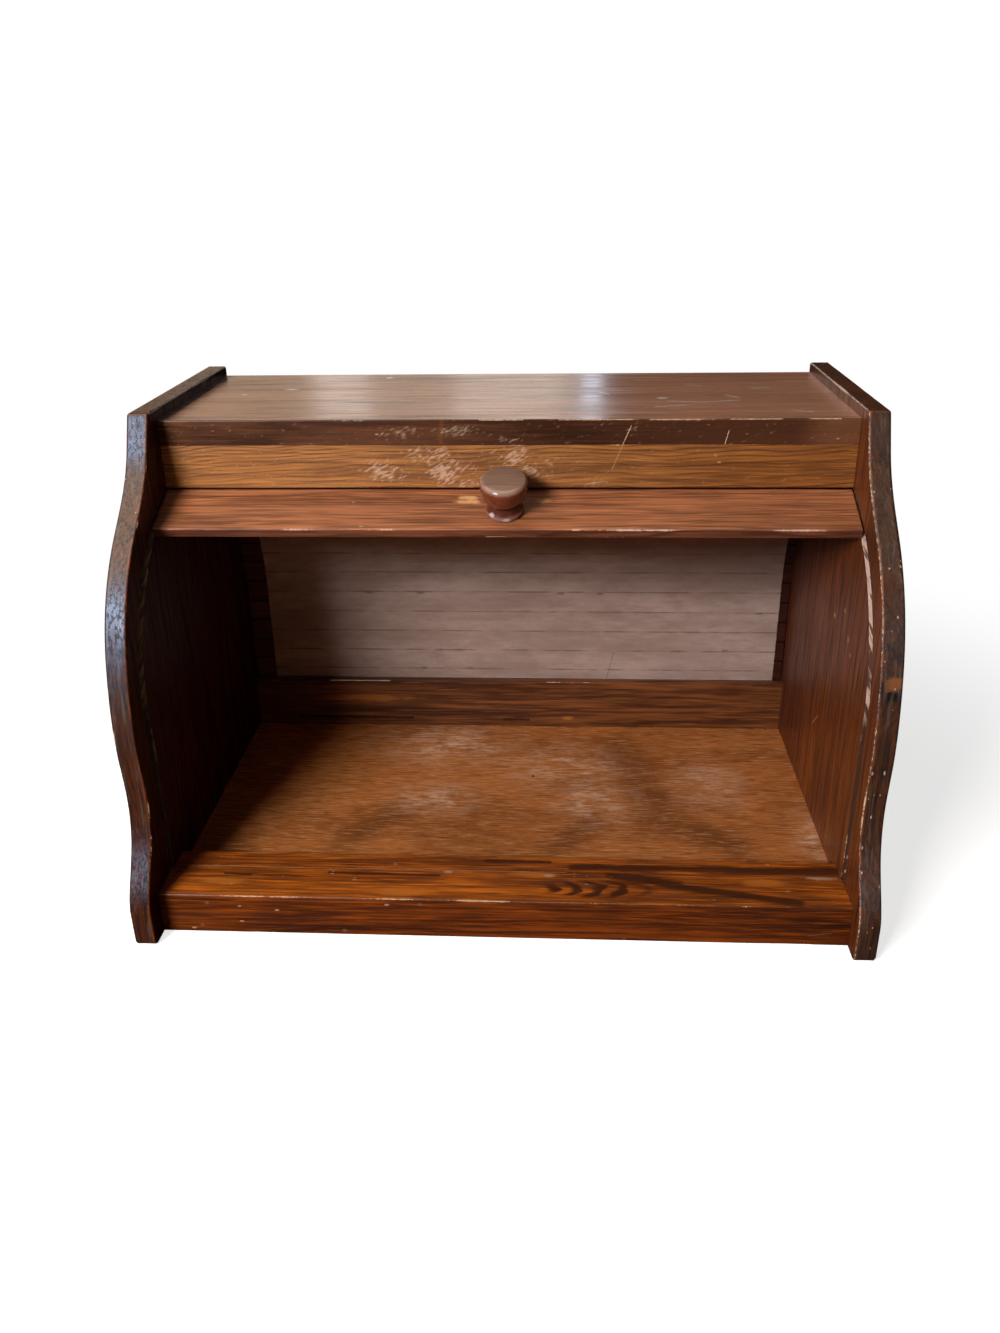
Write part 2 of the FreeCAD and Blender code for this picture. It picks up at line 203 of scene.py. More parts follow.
f = Finish("studio_floor")
paths = f.node("LightPath").outputs
seen = f.most(paths["Is Camera Ray"], paths["Is Transmission Ray"])
gone = f.vector("LENGTH", f.where(), out="Value")
lit = f.node("AddShader", {0: f.node("BsdfDiffuse", {"Color": PAPER}).outputs[0],
                           1: f.node("Emission", {"Strength": PAPER_GLOW}).outputs[0]}).outputs[0]
white = f.node("Emission", {"Strength": 1.0}).outputs[0]
shown = f.node("MixShader", {0: f.step(gone, SHADOW_NEAR, SHADOW_FAR), 1: lit, 2: white}).outputs[0]
dull = f.node("BsdfDiffuse", {"Color": PAPER_UNSEEN}).outputs[0]
f.surface(f.node("MixShader", {0: seen, 1: dull, 2: shown}).outputs[0])

turns = np.linspace(0, 2 * math.pi, FLOOR_SIDES, endpoint=False)
rim = np.column_stack([np.cos(turns), np.sin(turns), 0 * turns]) * FLOOR_RADIUS
floor_mesh = bpy.data.meshes.new("studio_floor")
floor_mesh.from_pydata(rim.tolist(), [], [list(range(FLOOR_SIDES))])
floor_mesh.materials.append(f.material)
studio_floor = bpy.data.objects.new("studio_floor", floor_mesh)
bpy.context.scene.collection.objects.link(studio_floor)

FILL = 0.010                           # the even light from all round
GLOSS_FILL = 0.022                     # what a mirror would see of the room
ROOM_TINT = (1.0, 0.46, 0.22)
world = bpy.data.worlds.new("studio")
bpy.context.scene.world = world
f = Finish("studio", world)
paths = f.node("LightPath").outputs
seen = f.most(paths["Is Camera Ray"], paths["Is Transmission Ray"])
level = f.most(seen, f.times(paths["Is Glossy Ray"], GLOSS_FILL), FILL)
tint = f.mix(seen, ROOM_TINT, (1.0, 1.0, 1.0))
background = f.node("Background", {"Color": tint, "Strength": level}).outputs[0]
f.tree.links.new(background, f.node("OutputWorld").inputs["Surface"])

AIM = (0.0, 0.0, 0.14)                 # the middle of the box, which every light faces


def pane(name, centre, size, radiance, colour, lights=False):
    """A rectangular area light about a centre, turned to face the box: one that lights it, or one
    that only shows in its gloss. An area light's power is its radiance times pi times its area."""
    data = bpy.data.lights.new(name, "AREA")
    data.shape = "RECTANGLE"
    data.size, data.size_y = size
    data.energy = radiance * math.pi * size[0] * size[1]
    data.color = colour
    away = np.subtract(centre, AIM)
    away /= np.linalg.norm(away)
    side = np.cross([0.0, 0.0, 1.0] if abs(away[2]) < 0.9 else [0.0, 1.0, 0.0], away)
    side /= np.linalg.norm(side)
    at = np.eye(4)
    at[:3, 0], at[:3, 1], at[:3, 2], at[:3, 3] = side, np.cross(away, side), away, centre
    lamp = bpy.data.objects.new(name, data)
    lamp.matrix_world = Matrix(at.tolist())
    lamp.visible_camera = False
    lamp.visible_diffuse = lights
    lamp.visible_glossy = not lights
    bpy.context.scene.collection.objects.link(lamp)


pane("window", (-0.86, -1.40, 0.97), (0.62, 0.42), 46.0, (1.0, 0.97, 0.94), lights=True)
pane("window_sheen", (-0.90, -1.42, 0.95), (0.60, 1.00), 11.0, (0.32, 0.62, 1.0))
pane("window_glint", (-0.90, -1.42, 0.97), (0.22, 0.34), 12.0, (1.0, 0.95, 0.92))
pane("room", (0.15, -2.30, 0.80), (1.60, 1.20), 0.30, (1.0, 0.60, 0.36), lights=True)
pane("far_wall", (0.80, -1.50, 0.85), (1.10, 1.00), 0.6, (1.0, 0.90, 0.80))
pane("ceiling", (-0.75, -0.4, 2.2), (2.9, 2.2), 2.4, (1.0, 0.80, 0.60))
pane("doorway", (-0.21, 1.60, 0.72), (0.58, 0.70), 0.78, (1.0, 0.84, 0.70))
pane("doorway_left", (-0.416, 1.59, 0.72), (0.11, 0.70), 0.65, (1.0, 0.95, 0.92))
pane("doorway_right", (-0.075, 1.59, 0.72), (0.23, 0.70), 0.52, (1.0, 0.95, 0.90))
pane("doorway_side", (-0.72, 1.60, 0.72), (0.45, 0.70), 0.60, (1.0, 0.80, 0.60))
pane("doorway_gap", (0.093, 1.60, 0.72), (0.034, 0.70), 2.90, (0.72, 0.84, 1.0))


# ---------------------------------------------------------------- side panels
# Two solid pine panels with upright grain, sawn to an S-curve in front, stained dark and varnished.
# A groove for the curtain is routed into each inner face and left raw; the arrises are worn bare.
# The left panel's inner face carries painted shade, and the edges painted sheen in part.
def uneven(places, pitch, seed, octaves=3):
    """Smooth noise along a line, about -1 to 1: random heights every pitch, cosine-eased between,
    plus octaves of half the pitch and half the height."""
    source = np.random.default_rng(seed)
    total = np.zeros(len(places))
    for octave in range(octaves):
        spots = (places - places.min()) / (pitch / 2 ** octave)
        heights = source.uniform(-1, 1, int(spots.max()) + 3)
        whole = spots.astype(int)
        ease = (1 - np.cos((spots - whole) * math.pi)) / 2
        total += (heights[whole] * (1 - ease) + heights[whole + 1] * ease) / 2 ** octave
    return total / 1.6


def loft(name, rings, **marks):
    """A closed skin through rings of points (n, m, 3): quads join each ring to the next and each
    point to its neighbour around the ring, and a fan to its middle closes each end. Marks are
    (n, m) values kept as attributes. Turned so that its faces point outwards."""
    n, m = rings.shape[:2]
    verts = np.concatenate([rings.reshape(-1, 3), rings[:1].mean(axis=1), rings[-1:].mean(axis=1)])
    ring, spot = np.meshgrid(np.arange(n - 1), np.arange(m), indexing="ij")
    after = (spot + 1) % m
    quads = np.stack([ring * m + spot, ring * m + after, (ring + 1) * m + after, (ring + 1) * m + spot], -1)
    quads = quads.reshape(-1, 4)
    around = np.arange(m)
    first = np.stack([(around + 1) % m, around, np.full(m, n * m)], -1)
    last = np.stack([(n - 1) * m + around, (n - 1) * m + (around + 1) % m, np.full(m, n * m + 1)], -1)
    p, q, r, s = (verts[quads[:, k]] - verts.mean(axis=0) for k in range(4))
    if np.einsum("ij,ij->i", p, np.cross(q, r) + np.cross(r, s)).sum() < 0:
        quads, first, last = quads[:, ::-1], first[:, ::-1], last[:, ::-1]
    mesh = bpy.data.meshes.new(name)
    mesh.from_pydata(verts.tolist(), [], quads.tolist() + first.tolist() + last.tolist())
    mesh.validate()
    for mark, values in marks.items():
        spread = np.concatenate([values.ravel(), values[:1].mean(axis=1), values[-1:].mean(axis=1)])
        mesh.attributes.new(mark, "FLOAT", "POINT").data.foreach_set("value", spread.astype(np.float32))
    mesh.shade_smooth()
    mesh.set_sharp_from_angle(angle=math.radians(38))
    piece = bpy.data.objects.new(name, mesh)
    bpy.context.scene.collection.objects.link(piece)
    return piece


def fitted(piece, material, node, body="carcass"):
    """Gives a piece its material and puts it in the place of a node of the frame."""
    piece.data.materials.append(material)
    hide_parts(node)
    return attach(piece, body)


def points_of(node):
    flat = np.empty(len(nodes[node].data.vertices) * 3)
    nodes[node].data.vertices.foreach_get("co", flat)
    return flat.reshape(-1, 3)


def along_axis(axis, along, across):
    """A stretch with one value along an axis and another across it."""
    return tuple(along if name == axis else across for name in "XYZ")


def grain(f, axis, pith, lean, pitch, early, late, dark, knots=(), warp=1.0, blotch=0.5, body=0.35,
          lines=1.0, hairs=0.65, streaks=0.7, broad=170.0):
    """Gives a finish the colour and height of stained pine. The growth rings are cylinders about a
    pith along one axis, which leans a little and is bent by slow noise: the fraction of (distance
    from the pith / ring pitch) goes from early to late wood. Stain lies over them in fine noise."""
    place = f.place()
    run, across, up = (place[name] for name in axis + "XYZ".replace(axis, ""))
    across = f.plus(f.plus(across, -pith[0]), f.times(run, -lean[0]))
    up = f.plus(f.plus(up, -pith[1]), f.times(run, -lean[1]))
    radius = f.maths("SQRT", f.plus(f.times(across, across), f.times(up, up)))
    drift = f.noise(along_axis(axis, 4.0, 10.0))
    sway = f.noise(along_axis(axis, 16.0, 45.0), centre=(3.0, 1.0, 2.0))
    radius = f.plus(radius, f.times(f.plus(drift, -0.5), 0.022 * warp))
    radius = f.plus(radius, f.times(f.plus(sway, -0.5), 0.006 * warp))
    heart = 0.0
    for centre, reach, push in knots:
        radius = f.plus(radius, f.times(f.near(centre, reach), push))
        heart = f.most(f.near(centre, tuple(0.34 * size for size in reach)), heart)
    rings = f.times(radius, 1.0 / pitch)
    share = f.maths("FRACT", rings)
    each = f.node("TexWhiteNoise", {"W": f.maths("FLOOR", rings)}, noise_dimensions="1D").outputs[0]
    line = f.times(f.step(share, body, 0.86), f.step(share, 1.0, 0.90))
    line = f.times(line, f.step(each, -0.2, 1.0, 0.2 * lines, lines))
    fibre = f.noise(along_axis(axis, 30.0, 1000.0))
    hair = f.noise(along_axis(axis, 14.0, 520.0), 3.0, 0.6, centre=(7.0, 7.0, 1.0))
    streak = f.noise(along_axis(axis, 7.0, broad), 4.0, 0.62)
    patch = f.noise(along_axis(axis, 9.0, 28.0), 3.0, 0.6, centre=(5.0, 2.0, 1.0))
    f.colour = f.mix(line, early, late)
    f.lay(f.step(patch, 0.36, 0.72, 0.0, blotch), dark)
    f.lay(f.step(streak, 0.46, 0.66, 0.0, streaks), dark)
    f.lay(f.step(hair, 0.47, 0.58, 0.0, hairs), dark)
    f.lay(f.step(fibre, 0.50, 0.72, 0.0, 0.55), tuple(min(1.0, part * 1.5) for part in early))
    f.lay(f.step(heart, 0.0, 0.55), tuple(0.35 * part for part in dark))
    f.height = f.plus(f.times(hair, -0.7), f.times(fibre, 0.4))


def on_face(axis, level, rows, deep=2.0):
    """Marks on a face that lies across an axis at a level, in metres, from rows in millimetres along
    the other two axes: a soft spot is (a, b, reach, reach), and deep is its reach across the face; a
    straight stroke is (a, b, a, b, width)."""
    def at(pair, across):
        return tuple(np.insert(np.multiply(pair, MM), "XYZ".index(axis), across))
    return [(at(row[:2], level), at(row[2:4], level), row[4] * MM) if len(row) == 5 else
            (at(row[:2], level), at(row[2:], deep * MM)) for row in rows]


def marked(f, marks):
    """1 in the middle of soft spots (centre, reach) and strokes (start, end, width), 0 off them."""
    return f.most(*[f.near(*mark) if len(mark) == 2 else f.stroke(*mark) for mark in marks])


def scuffs_and_painted_light(f, tone, marks, fray=260.0, strength=1.0, drawn=1.0):
    """Lays a tone over rubbed or dirty places, and over places of painted shade and painted
    highlights, their edges broken up by fine noise, which drawn lengthens along X."""
    mask = marked(f, marks)
    broken = f.plus(mask, f.times(f.plus(f.noise((fray / drawn, fray, fray), 3.0, 0.65), -0.5), 1.3))
    f.lay(f.step(f.times(broken, f.step(mask, 0.0, 0.12)), 0.20, 0.85, 0.0, strength), tone)


def scraped(f, tone, marks, strength, turn=0.5, fine=700.0):
    """Many thin scratches of one slant inside soft spots: noise drawn out along the slant, cut off
    at a level that falls towards the middle of each place."""
    hatch = f.noise((fine * 0.30, fine * 0.30, fine), 3.0, 0.60, turn=(0.0, turn, 0.0))
    drift = f.noise((fine * 0.10,) * 3, 2.0, 0.5, centre=(2.0, 2.0, 2.0))
    mask = f.times(marked(f, marks), f.step(drift, 0.35, 0.62, 0.35, 1.0))
    f.lay(f.step(f.plus(hatch, f.times(mask, 0.30)), 0.60, 0.84, 0.0, strength), tone)


NICK_PITCH, NICK_SIZE = 3.2 * MM, 0.75 * MM


def nicked(f, share, axis, long=2.4):
    """Nicks: a small spot in some share of the cells of a pitch, longer along the grain."""
    stretch = along_axis(axis, 1 / (long * NICK_PITCH), 1 / NICK_PITCH)
    cells = f.node("TexVoronoi", {"Vector": f.where(stretch=stretch), "Scale": 1.0}).outputs
    chosen = f.node("SeparateColor", {0: cells["Color"]}).outputs
    wide = NICK_SIZE / NICK_PITCH
    small = f.step(chosen[1], 0.0, 1.0, 0.45 * wide, wide)
    inside = f.step(f.maths("SUBTRACT", cells["Distance"], small), 0.0, -0.3 * wide)
    return f.times(inside, f.maths("GREATER_THAN", chosen[0], 1.0 - share))


def varnished(f, gloss=0.34, bare=(0.50, 0.33, 0.20), shine=0.4, nicks=0.0, axis="X", relief=0.2,
              pores=0.22):
    """Old thin varnish over stained wood. Where the wear mark and fine noise add up, it has rubbed
    through to bare matt wood, and a few small nicks show pale on the faces. Open pores are matt."""
    fray = f.noise((420.0,) * 3, 3.0, 0.7)
    worn = f.mark("wear")
    rubbed = f.step(f.plus(worn, f.times(f.plus(fray, -0.5), 0.9)), 0.52, 0.80)
    if nicks:
        rubbed = f.most(rubbed, f.times(nicked(f, nicks, axis), 0.70))
    f.lay(rubbed, bare)
    patch = f.noise(along_axis(axis, 6.0, 60.0), 3.0, 0.6, centre=(9.0, 4.0, 6.0))
    rough = f.plus(f.step(patch, 0.25, 0.75, gloss - 0.06, gloss + 0.06),
                   f.step(f.height, -0.12, -0.26, 0.0, pores))
    rough = f.most(rough, f.times(rubbed, 0.75))
    return f.coat(rough, f.height, relief, 0.4 * MM, shine)


side = points_of("side_panel_right")
OUTER_X = side[:, 0].max()
INNER_X = side[:, 0].min()
EASING = 1.1 * MM
joint_places = {joint["name"]: joint["pos_m"] for joint in frame["joints"]}
ARCH_Y, ARCH_Z = joint_places["slat_08_roll"][1:]
TRACK_RADIUS = 112.5 * MM
GROOVE_DEPTH = 5.5 * MM
GROOVE_OUTSIDE, GROOVE_INSIDE = 6.6 * MM, -0.5 * MM    # the two walls, from the track's radius
SOLE_OUTSIDE, SOLE_INSIDE = 8 * MM, 10 * MM            # how low the two walls' loops go
RAIL_LINE, BACK_LINE = 27.7 * MM, 57.4 * MM            # the grooves end at the tops of the two rails


def cad_outline():
    """The panel's edge as the frame has it, in order around the arch's centre."""
    edge = side[np.abs(side[:, 0] - (OUTER_X - EASING)) < 0.02 * MM][:, 1:]
    edge = np.unique(np.round(edge, 6), axis=0)
    angle = np.arctan2(edge[:, 1] - ARCH_Z, edge[:, 0] - ARCH_Y)
    return edge[np.argsort(angle)]


def through(points, pitch, straight=15 * MM):
    """A closed line through points, with a point every pitch: cubic between near neighbours, with
    end slopes weighted to the nearer side, and straight where neighbours are far apart."""
    ahead = np.roll(points, -1, axis=0)
    span = np.linalg.norm(ahead - points, axis=1)
    slope = (ahead - points) / span[:, None]
    before, before_span = np.roll(slope, 1, axis=0), np.roll(span, 1)
    tangent = (before * span[:, None] + slope * before_span[:, None]) / (span + before_span)[:, None]
    tangent[span > straight] = slope[span > straight]
    tangent[before_span > straight] = before[before_span > straight]
    length = np.concatenate([[0], np.cumsum(span)])
    at = np.linspace(0, length[-1], int(round(length[-1] / pitch)), endpoint=False)
    index = np.searchsorted(length, at, side="right") - 1
    t = ((at - length[index]) / span[index])[:, None]
    after = (index + 1) % len(points)
    reach = span[index][:, None]
    return (points[index] * (1 + 2 * t) * (1 - t) ** 2 + ahead[index] * t * t * (3 - 2 * t)
            + tangent[index] * reach * t * (1 - t) ** 2 + tangent[after] * reach * t * t * (t - 1))


OUTLINE_PITCH = 1.0 * MM
outline = through(cad_outline(), OUTLINE_PITCH)
outline_run = np.arange(len(outline)) * OUTLINE_PITCH
heading = np.roll(outline, -1, axis=0) - np.roll(outline, 1, axis=0)
heading /= np.linalg.norm(heading, axis=1)[:, None]
outward = np.column_stack([heading[:, 1], -heading[:, 0]])
ray = outline - (ARCH_Y, ARCH_Z)
ray /= np.linalg.norm(ray, axis=1)[:, None]


def track_loop(distance, sole):
    """A loop a distance from the arch's centre: round above it, upright below, level at the sole."""
    reach = np.full(len(ray), distance)
    low = ray[:, 1] < 0
    upright = distance / np.maximum(np.abs(ray[low, 0]), 1e-6)
    reach[low] = np.minimum(upright, (ARCH_Z - sole) / -ray[low, 1])
    return ray * reach[:, None] + (ARCH_Y, ARCH_Z)


groove_out = track_loop(TRACK_RADIUS + GROOVE_OUTSIDE, SOLE_OUTSIDE)
groove_in = track_loop(TRACK_RADIUS + GROOVE_INSIDE, SOLE_INSIDE)


def groove_depth(loop):
    """The groove's depth at each point of a loop: nothing below the rail in front or behind."""
    end = np.where(loop[:, 0] < ARCH_Y, RAIL_LINE, BACK_LINE)
    return np.where(loop[:, 1] >= end, GROOVE_DEPTH, 0.0)


def side_panel(name, sign, seed, inner_wear):
    """Rings of one point for each point of the outline: from the middle of the outer face over its
    worn arris, across the edge, over the inner arris, down into the groove and out, to the middle.
    inner_wear is how far the inner arris is rubbed bare all along."""
    middle = np.array([ARCH_Y, ARCH_Z])
    chips = {s: np.clip(uneven(outline_run, 26 * MM, seed + s, 4) - 0.25, 0, 1) for s in (1, 2, 3, 4)}
    wave = uneven(outline_run, 40 * MM, seed + 9)
    worn_line = {-1: 0.35, 1: inner_wear}
    rings, wears, routed = [], [], []

    def ring(x, loop, wear=0.0, groove=0.0):
        across = np.full(len(loop), x) if np.isscalar(x) else x
        rings.append(np.column_stack([sign * across, loop]))
        wears.append(np.broadcast_to(wear, len(loop)))
        routed.append(np.broadcast_to(groove, len(loop)))

    face = outline - outward * EASING
    for share in (0.3, 0.6, 0.85, 0.97):
        ring(OUTER_X, middle + (face - middle) * share)
    for side_x, chip, towards in ((OUTER_X, chips[1], -1), (INNER_X, chips[2], 1)):
        arris = []
        for turn in np.radians([0, 15, 30, 45, 60, 75, 90]):
            loss = (0.15 * MM + 0.9 * MM * chip) * math.sin(2 * turn) ** 1.5
            x = side_x + towards * (EASING * (1 - math.cos(turn)) + loss * 0.7)
            loop = face + outward * (EASING * math.sin(turn) - loss * 0.7)[:, None]
            between = 0 < turn < 1.5
            wear = (worn_line[towards] + 1.2 * chip) * math.sin(2 * turn) ** 0.5 if between else chip * 0.6
            arris.append((x, loop, wear))
        if towards > 0:
            for share in (0.08, 0.25, 0.5, 0.75, 0.92):
                flat = outline - outward * (0.12 * MM * np.abs(wave) * math.sin(share * math.pi))[:, None]
                ring(OUTER_X - EASING + (INNER_X - OUTER_X + 2 * EASING) * share, flat)
            arris = arris[::-1]
        for x, loop, wear in arris:
            ring(x, loop, wear)
    out_depth, in_depth = groove_depth(groove_out), groove_depth(groove_in)
    for share in (0.1, 0.5, 0.9):
        ring(INNER_X, face + (groove_out - face) * share)
    lip = 0.35 * MM
    chatter = 0.25 * MM * chips[4][:, None]
    ring(INNER_X, groove_out + ray * lip, 0.2 + chips[3])
    ring(INNER_X + 0.25 * lip * (out_depth > 0), groove_out, 0.5 + chips[3], 0.5)
    ring(INNER_X + out_depth * 0.25, groove_out, 0.0, 1.0)
    ring(INNER_X + out_depth * 0.97, groove_out, 0.0, 1.0)
    for share in (0.03, 0.35, 0.65, 0.97):
        bed = groove_out + (groove_in - groove_out) * share
        ring(INNER_X + out_depth * (1 - share) + in_depth * share, bed, 0.0, 1.0)
    ring(INNER_X + in_depth * 0.97, groove_in, 0.0, 1.0)
    ring(INNER_X + in_depth * 0.35, groove_in - ray * chatter, 0.0, 1.0)
    ring(INNER_X + 0.25 * lip * (in_depth > 0), groove_in - ray * chatter, 0.5 + chips[4], 0.7)
    ring(INNER_X, groove_in - ray * (lip + chatter), 0.2 + chips[4])
    for share in (0.97, 0.75, 0.5, 0.25):
        ring(INNER_X, middle + (groove_in - middle) * share)
    return loft(name, np.array(rings), wear=np.array(wears), groove=np.array(routed))


def raw_groove(f, raw, shade, slant):
    """The raw wood in the groove: long marks that the cutter left at a slant, dark below."""
    routed = f.mark("groove")
    chatter = f.noise((40.0, 60.0, 420.0), turn=(0.0, slant, 0.0))
    wood = f.mix(f.step(chatter, 0.46, 0.58), raw, shade)
    wood = f.mix(f.step(f.place()["Z"], 0.155, 0.130), wood, tuple(0.7 * part for part in shade))
    f.lay(f.step(routed, 0.35, 0.6), wood)


SIDE_EARLY, SIDE_LATE, SIDE_DARK = (0.200, 0.055, 0.014), (0.080, 0.019, 0.005), (0.026, 0.007, 0.003)
SIDE_TOP = float(side[:, 2].max())


def side_pine(name, sign, pith, pitch, edge_tone, streak_centre, streak_sheen_tone, knots=()):
    """A panel's stained pine: upright grain, darker on its edges, where a grey tint is painted sheen
    and pale grain streaks are partly painted sheen. Gives the finish, its place, and a mark of the
    inner face."""
    f = Finish(name)
    grain(f, "Z", pith, (0.01, 0.03), pitch, SIDE_EARLY, SIDE_LATE, SIDE_DARK, knots=knots, warp=0.6)
    place = f.place()
    out = f.times(place["X"], float(sign))
    edge = f.times(f.step(out, INNER_X + 1 * MM, INNER_X + 2 * MM),
                   f.step(place["Z"], SIDE_TOP - 0.3 * MM, SIDE_TOP - 1.0 * MM))
    # Darker edges; the grey tint of edge_tone there is painted sheen.
    f.dim(f.times(edge, 0.85), edge_tone)
    # Pale grain streaks on the edges, partly painted sheen.
    grain_sheen_streaks = f.noise((500.0, 160.0, 22.0), 3.0, 0.6, centre=streak_centre)
    f.lay(f.times(edge, f.step(grain_sheen_streaks, 0.52, 0.66, 0.0, 0.55)), streak_sheen_tone)
    return f, place, f.step(out, INNER_X + 1 * MM, INNER_X)


KNOT = (0.219, -0.119, 0.169)
f, place, within = side_pine("side_pine_right", 1, (0.34, 0.05), 3.2 * MM, (0.30, 0.33, 0.40),
                             (1.0, 4.0, 2.0), (0.115, 0.074, 0.050),
                             knots=[(KNOT, (0.03, 0.03, 0.03), 0.014)])
scuffs_and_painted_light(f, (0.34, 0.115, 0.035), on_face("X", 0.220, [(-118, 172, 14, 8)], deep=9.0), strength=0.6)
scuffs_and_painted_light(f, (0.42, 0.28, 0.18), fray=600.0, marks=on_face("X", 0.212, [
    (-8, 169, 4, 3), (-30, 181, 3, 3), (-45, 168, 3, 4), (-53, 161, 3, 2), (4, 90, 16, 78, 1.4)])
        + on_face("X", 0.211, [(-120, 177, 5, 4)]))
f.dim(within, (1.0, 0.80, 0.34))
back_part = f.times(within, f.step(place["Y"], 0.030, 0.046))
f.dim(f.times(back_part, 0.6), (0.45, 0.34, 0.45))
raw_groove(f, (0.60, 0.44, 0.36), (0.10, 0.045, 0.028), -1.2)
right_finish = varnished(f, bare=(0.66, 0.47, 0.33), shine=0.8, nicks=0.26, axis="Z", relief=0.35)

f, place, within = side_pine("side_pine_left", -1, (-0.36, 0.02), 3.0 * MM, (0.30, 0.27, 0.29),
                             (6.0, 4.0, 2.0), (0.110, 0.082, 0.070))
# Painted shade: the left panel's inner face is darkened nearly to black.
f.dim(within, (0.30, 0.080, 0.070))
raw_groove(f, (0.34, 0.27, 0.17), (0.14, 0.10, 0.066), 1.2)
shine = f.times(f.step(place["Z"], 0.06, 0.22, 0.30, 0.9), f.step(within, 0.0, 1.0, 1.0, 0.20))
left_finish = varnished(f, shine=shine, nicks=0.06, axis="Z", relief=0.35)
fitted(side_panel("side_panel_right_wood", 1, 100, 0.62), right_finish, "side_panel_right")
fitted(side_panel("side_panel_left_wood", -1, 200, 0.40), left_finish, "side_panel_left")


# ---------------------------------------------------------------- top board
# One pine board between the sides, square-edged, with its front arris rubbed and chipped bare.
def eased(corners, radii, flats=(0.3 * MM, 1.2 * MM), piece=6 * MM, arc=7):
    """A closed outline round corners (y, z), each with its own radius in millimetres, as (points,
    outward normals): an arc at each corner, then points that start close and open out on each flat."""
    corners, radii, count = np.array(corners, dtype=float), np.multiply(radii, MM), len(corners)
    ahead = np.roll(corners, -1, axis=0) - corners
    ahead /= np.linalg.norm(ahead, axis=1)[:, None]
    behind = np.roll(ahead, 1, axis=0)
    turns = np.arctan2(behind[:, 0] * ahead[:, 1] - behind[:, 1] * ahead[:, 0], (behind * ahead).sum(axis=1))
    cuts = radii * np.abs(np.tan(turns / 2))
    points, normals = [], []
    for k, (here, u, v, turn) in enumerate(zip(corners, behind, ahead, turns)):
        swing = radii[k] * math.copysign(1, turn)
        centre = here - u * cuts[k] - np.array([u[1], -u[0]]) * swing
        for a in np.linspace(0, turn, arc):
            normals.append(np.array([u[1] * math.cos(a) + u[0] * math.sin(a),
                                     u[1] * math.sin(a) - u[0] * math.cos(a)]))
            points.append(centre + normals[-1] * swing)
        start, after = here + v * cuts[k], (k + 1) % count
        length = np.linalg.norm(corners[after] - v * cuts[after] - start)
        offsets = [o for o in (*flats, length - flats[1], length - flats[0]) if 0 < o < length]
        inner = np.linspace(flats[1], length - flats[1], max(int(length / piece), 1) + 1)[1:-1]
        for o in sorted(set(offsets) | set(inner)):
            points.append(start + v * o)
            normals.append(np.array([v[1], -v[0]]))
    return np.array(points), np.array(normals)


def board(node, profile, arrises=(), pitch=1.2 * MM, seed=0):
    """A profile (points, normals) in (y, z) carried along X over the length of a node's box. Each
    arris is a place in (y, z), a reach and a depth in millimetres and a share: near it the skin is
    cut in by depth times smooth noise along X, and the wear mark rises with it."""
    points, normals = profile
    (x0, *_), (x1, *_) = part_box(node)
    xs = np.linspace(x0, x1, int(round((x1 - x0) / pitch)) + 1)
    loss = np.zeros((len(xs), len(points)))
    wear = np.zeros((len(xs), len(points)))
    for k, (place, reach, depth, share) in enumerate(arrises):
        near = np.exp(-(np.linalg.norm(points - place, axis=1) / (reach * MM)) ** 2)
        rub = np.clip(uneven(xs, 30 * MM, seed + 10 * k, 5) + share, 0, 1.2)
        loss += depth * MM * rub[:, None] * near
        wear += (0.35 + rub)[:, None] * near
    flat = points[None] - normals[None] * loss[..., None]
    rings = np.concatenate([np.broadcast_to(xs[:, None, None], flat.shape[:2] + (1,)), flat], axis=2)
    return loft(node + "_wood", rings, wear=np.clip(wear, 0, 1.5))


def square(low, high, radii):
    """The outline of a board's end, round its four corners from the lower front one."""
    return eased([(low[1], low[2]), (high[1], low[2]), (high[1], high[2]), (low[1], high[2])], radii)


CHIP, RUBBED = (0.98, 0.90, 0.80), (0.62, 0.42, 0.28)

low, high = np.array(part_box("top_board"))
top_wood = board("top_board", square(low, high, [0.3, 0.3, 0.3, 0.8]),
                 [((low[1], high[2]), 1.3, 0.7, -0.15)], seed=31)
TOP_Z, FRONT_Y = float(high[2]), float(low[1])
f = Finish("top_pine")
grain(f, "X", (-0.30, 0.46), (0.02, 0.01), 9.0 * MM, (0.66, 0.310, 0.165), (0.30, 0.120, 0.060),
      (0.10, 0.036, 0.018), broad=60.0, blotch=0.30, hairs=0.22, lines=0.7)
place = f.place()
f.lay(f.step(place["X"], 0.02, 0.12, 0.0, 0.6), (0.80, 0.38, 0.24))
front = f.step(place["Y"], FRONT_Y + 1.2 * MM, FRONT_Y + 0.6 * MM)
ends = f.most(f.step(place["X"], -0.183, -0.200), f.step(place["X"], 0.172, 0.198))
band = f.mix(f.step(place["X"], -0.05, 0.02), (0.17, 0.13, 0.11), (0.105, 0.072, 0.052))
f.dim(front, f.mix(ends, band, (0.22, 0.175, 0.13)))
scuffs_and_painted_light(f, (0.30, 0.11, 0.03), on_face("Y", FRONT_Y, [(-37, 297, -38, 283, 5)]), fray=300.0, strength=0.22)
scuffs_and_painted_light(f, CHIP, fray=500.0, marks=on_face("Z", TOP_Z, [
    (-179, 66, 3, 4), (-151, 84, 9, 4), (-89, 126, 5, 5), (100, 49, 6, 6), (103, 39, 126, 35, 3.4),
    (126, 35, 149, 41, 3.4), (94, 21, 113, 26, 3), (60, 70, 66, 62, 3), (142, 58, 149, 49, 3),
    (163, 80, 174, 83, 3), (120, 94, 129, 90, 3), (176, 10, 187, 4, 3), (40, 4, 55, 2, 1.4)]))
top = TOP_Z / MM
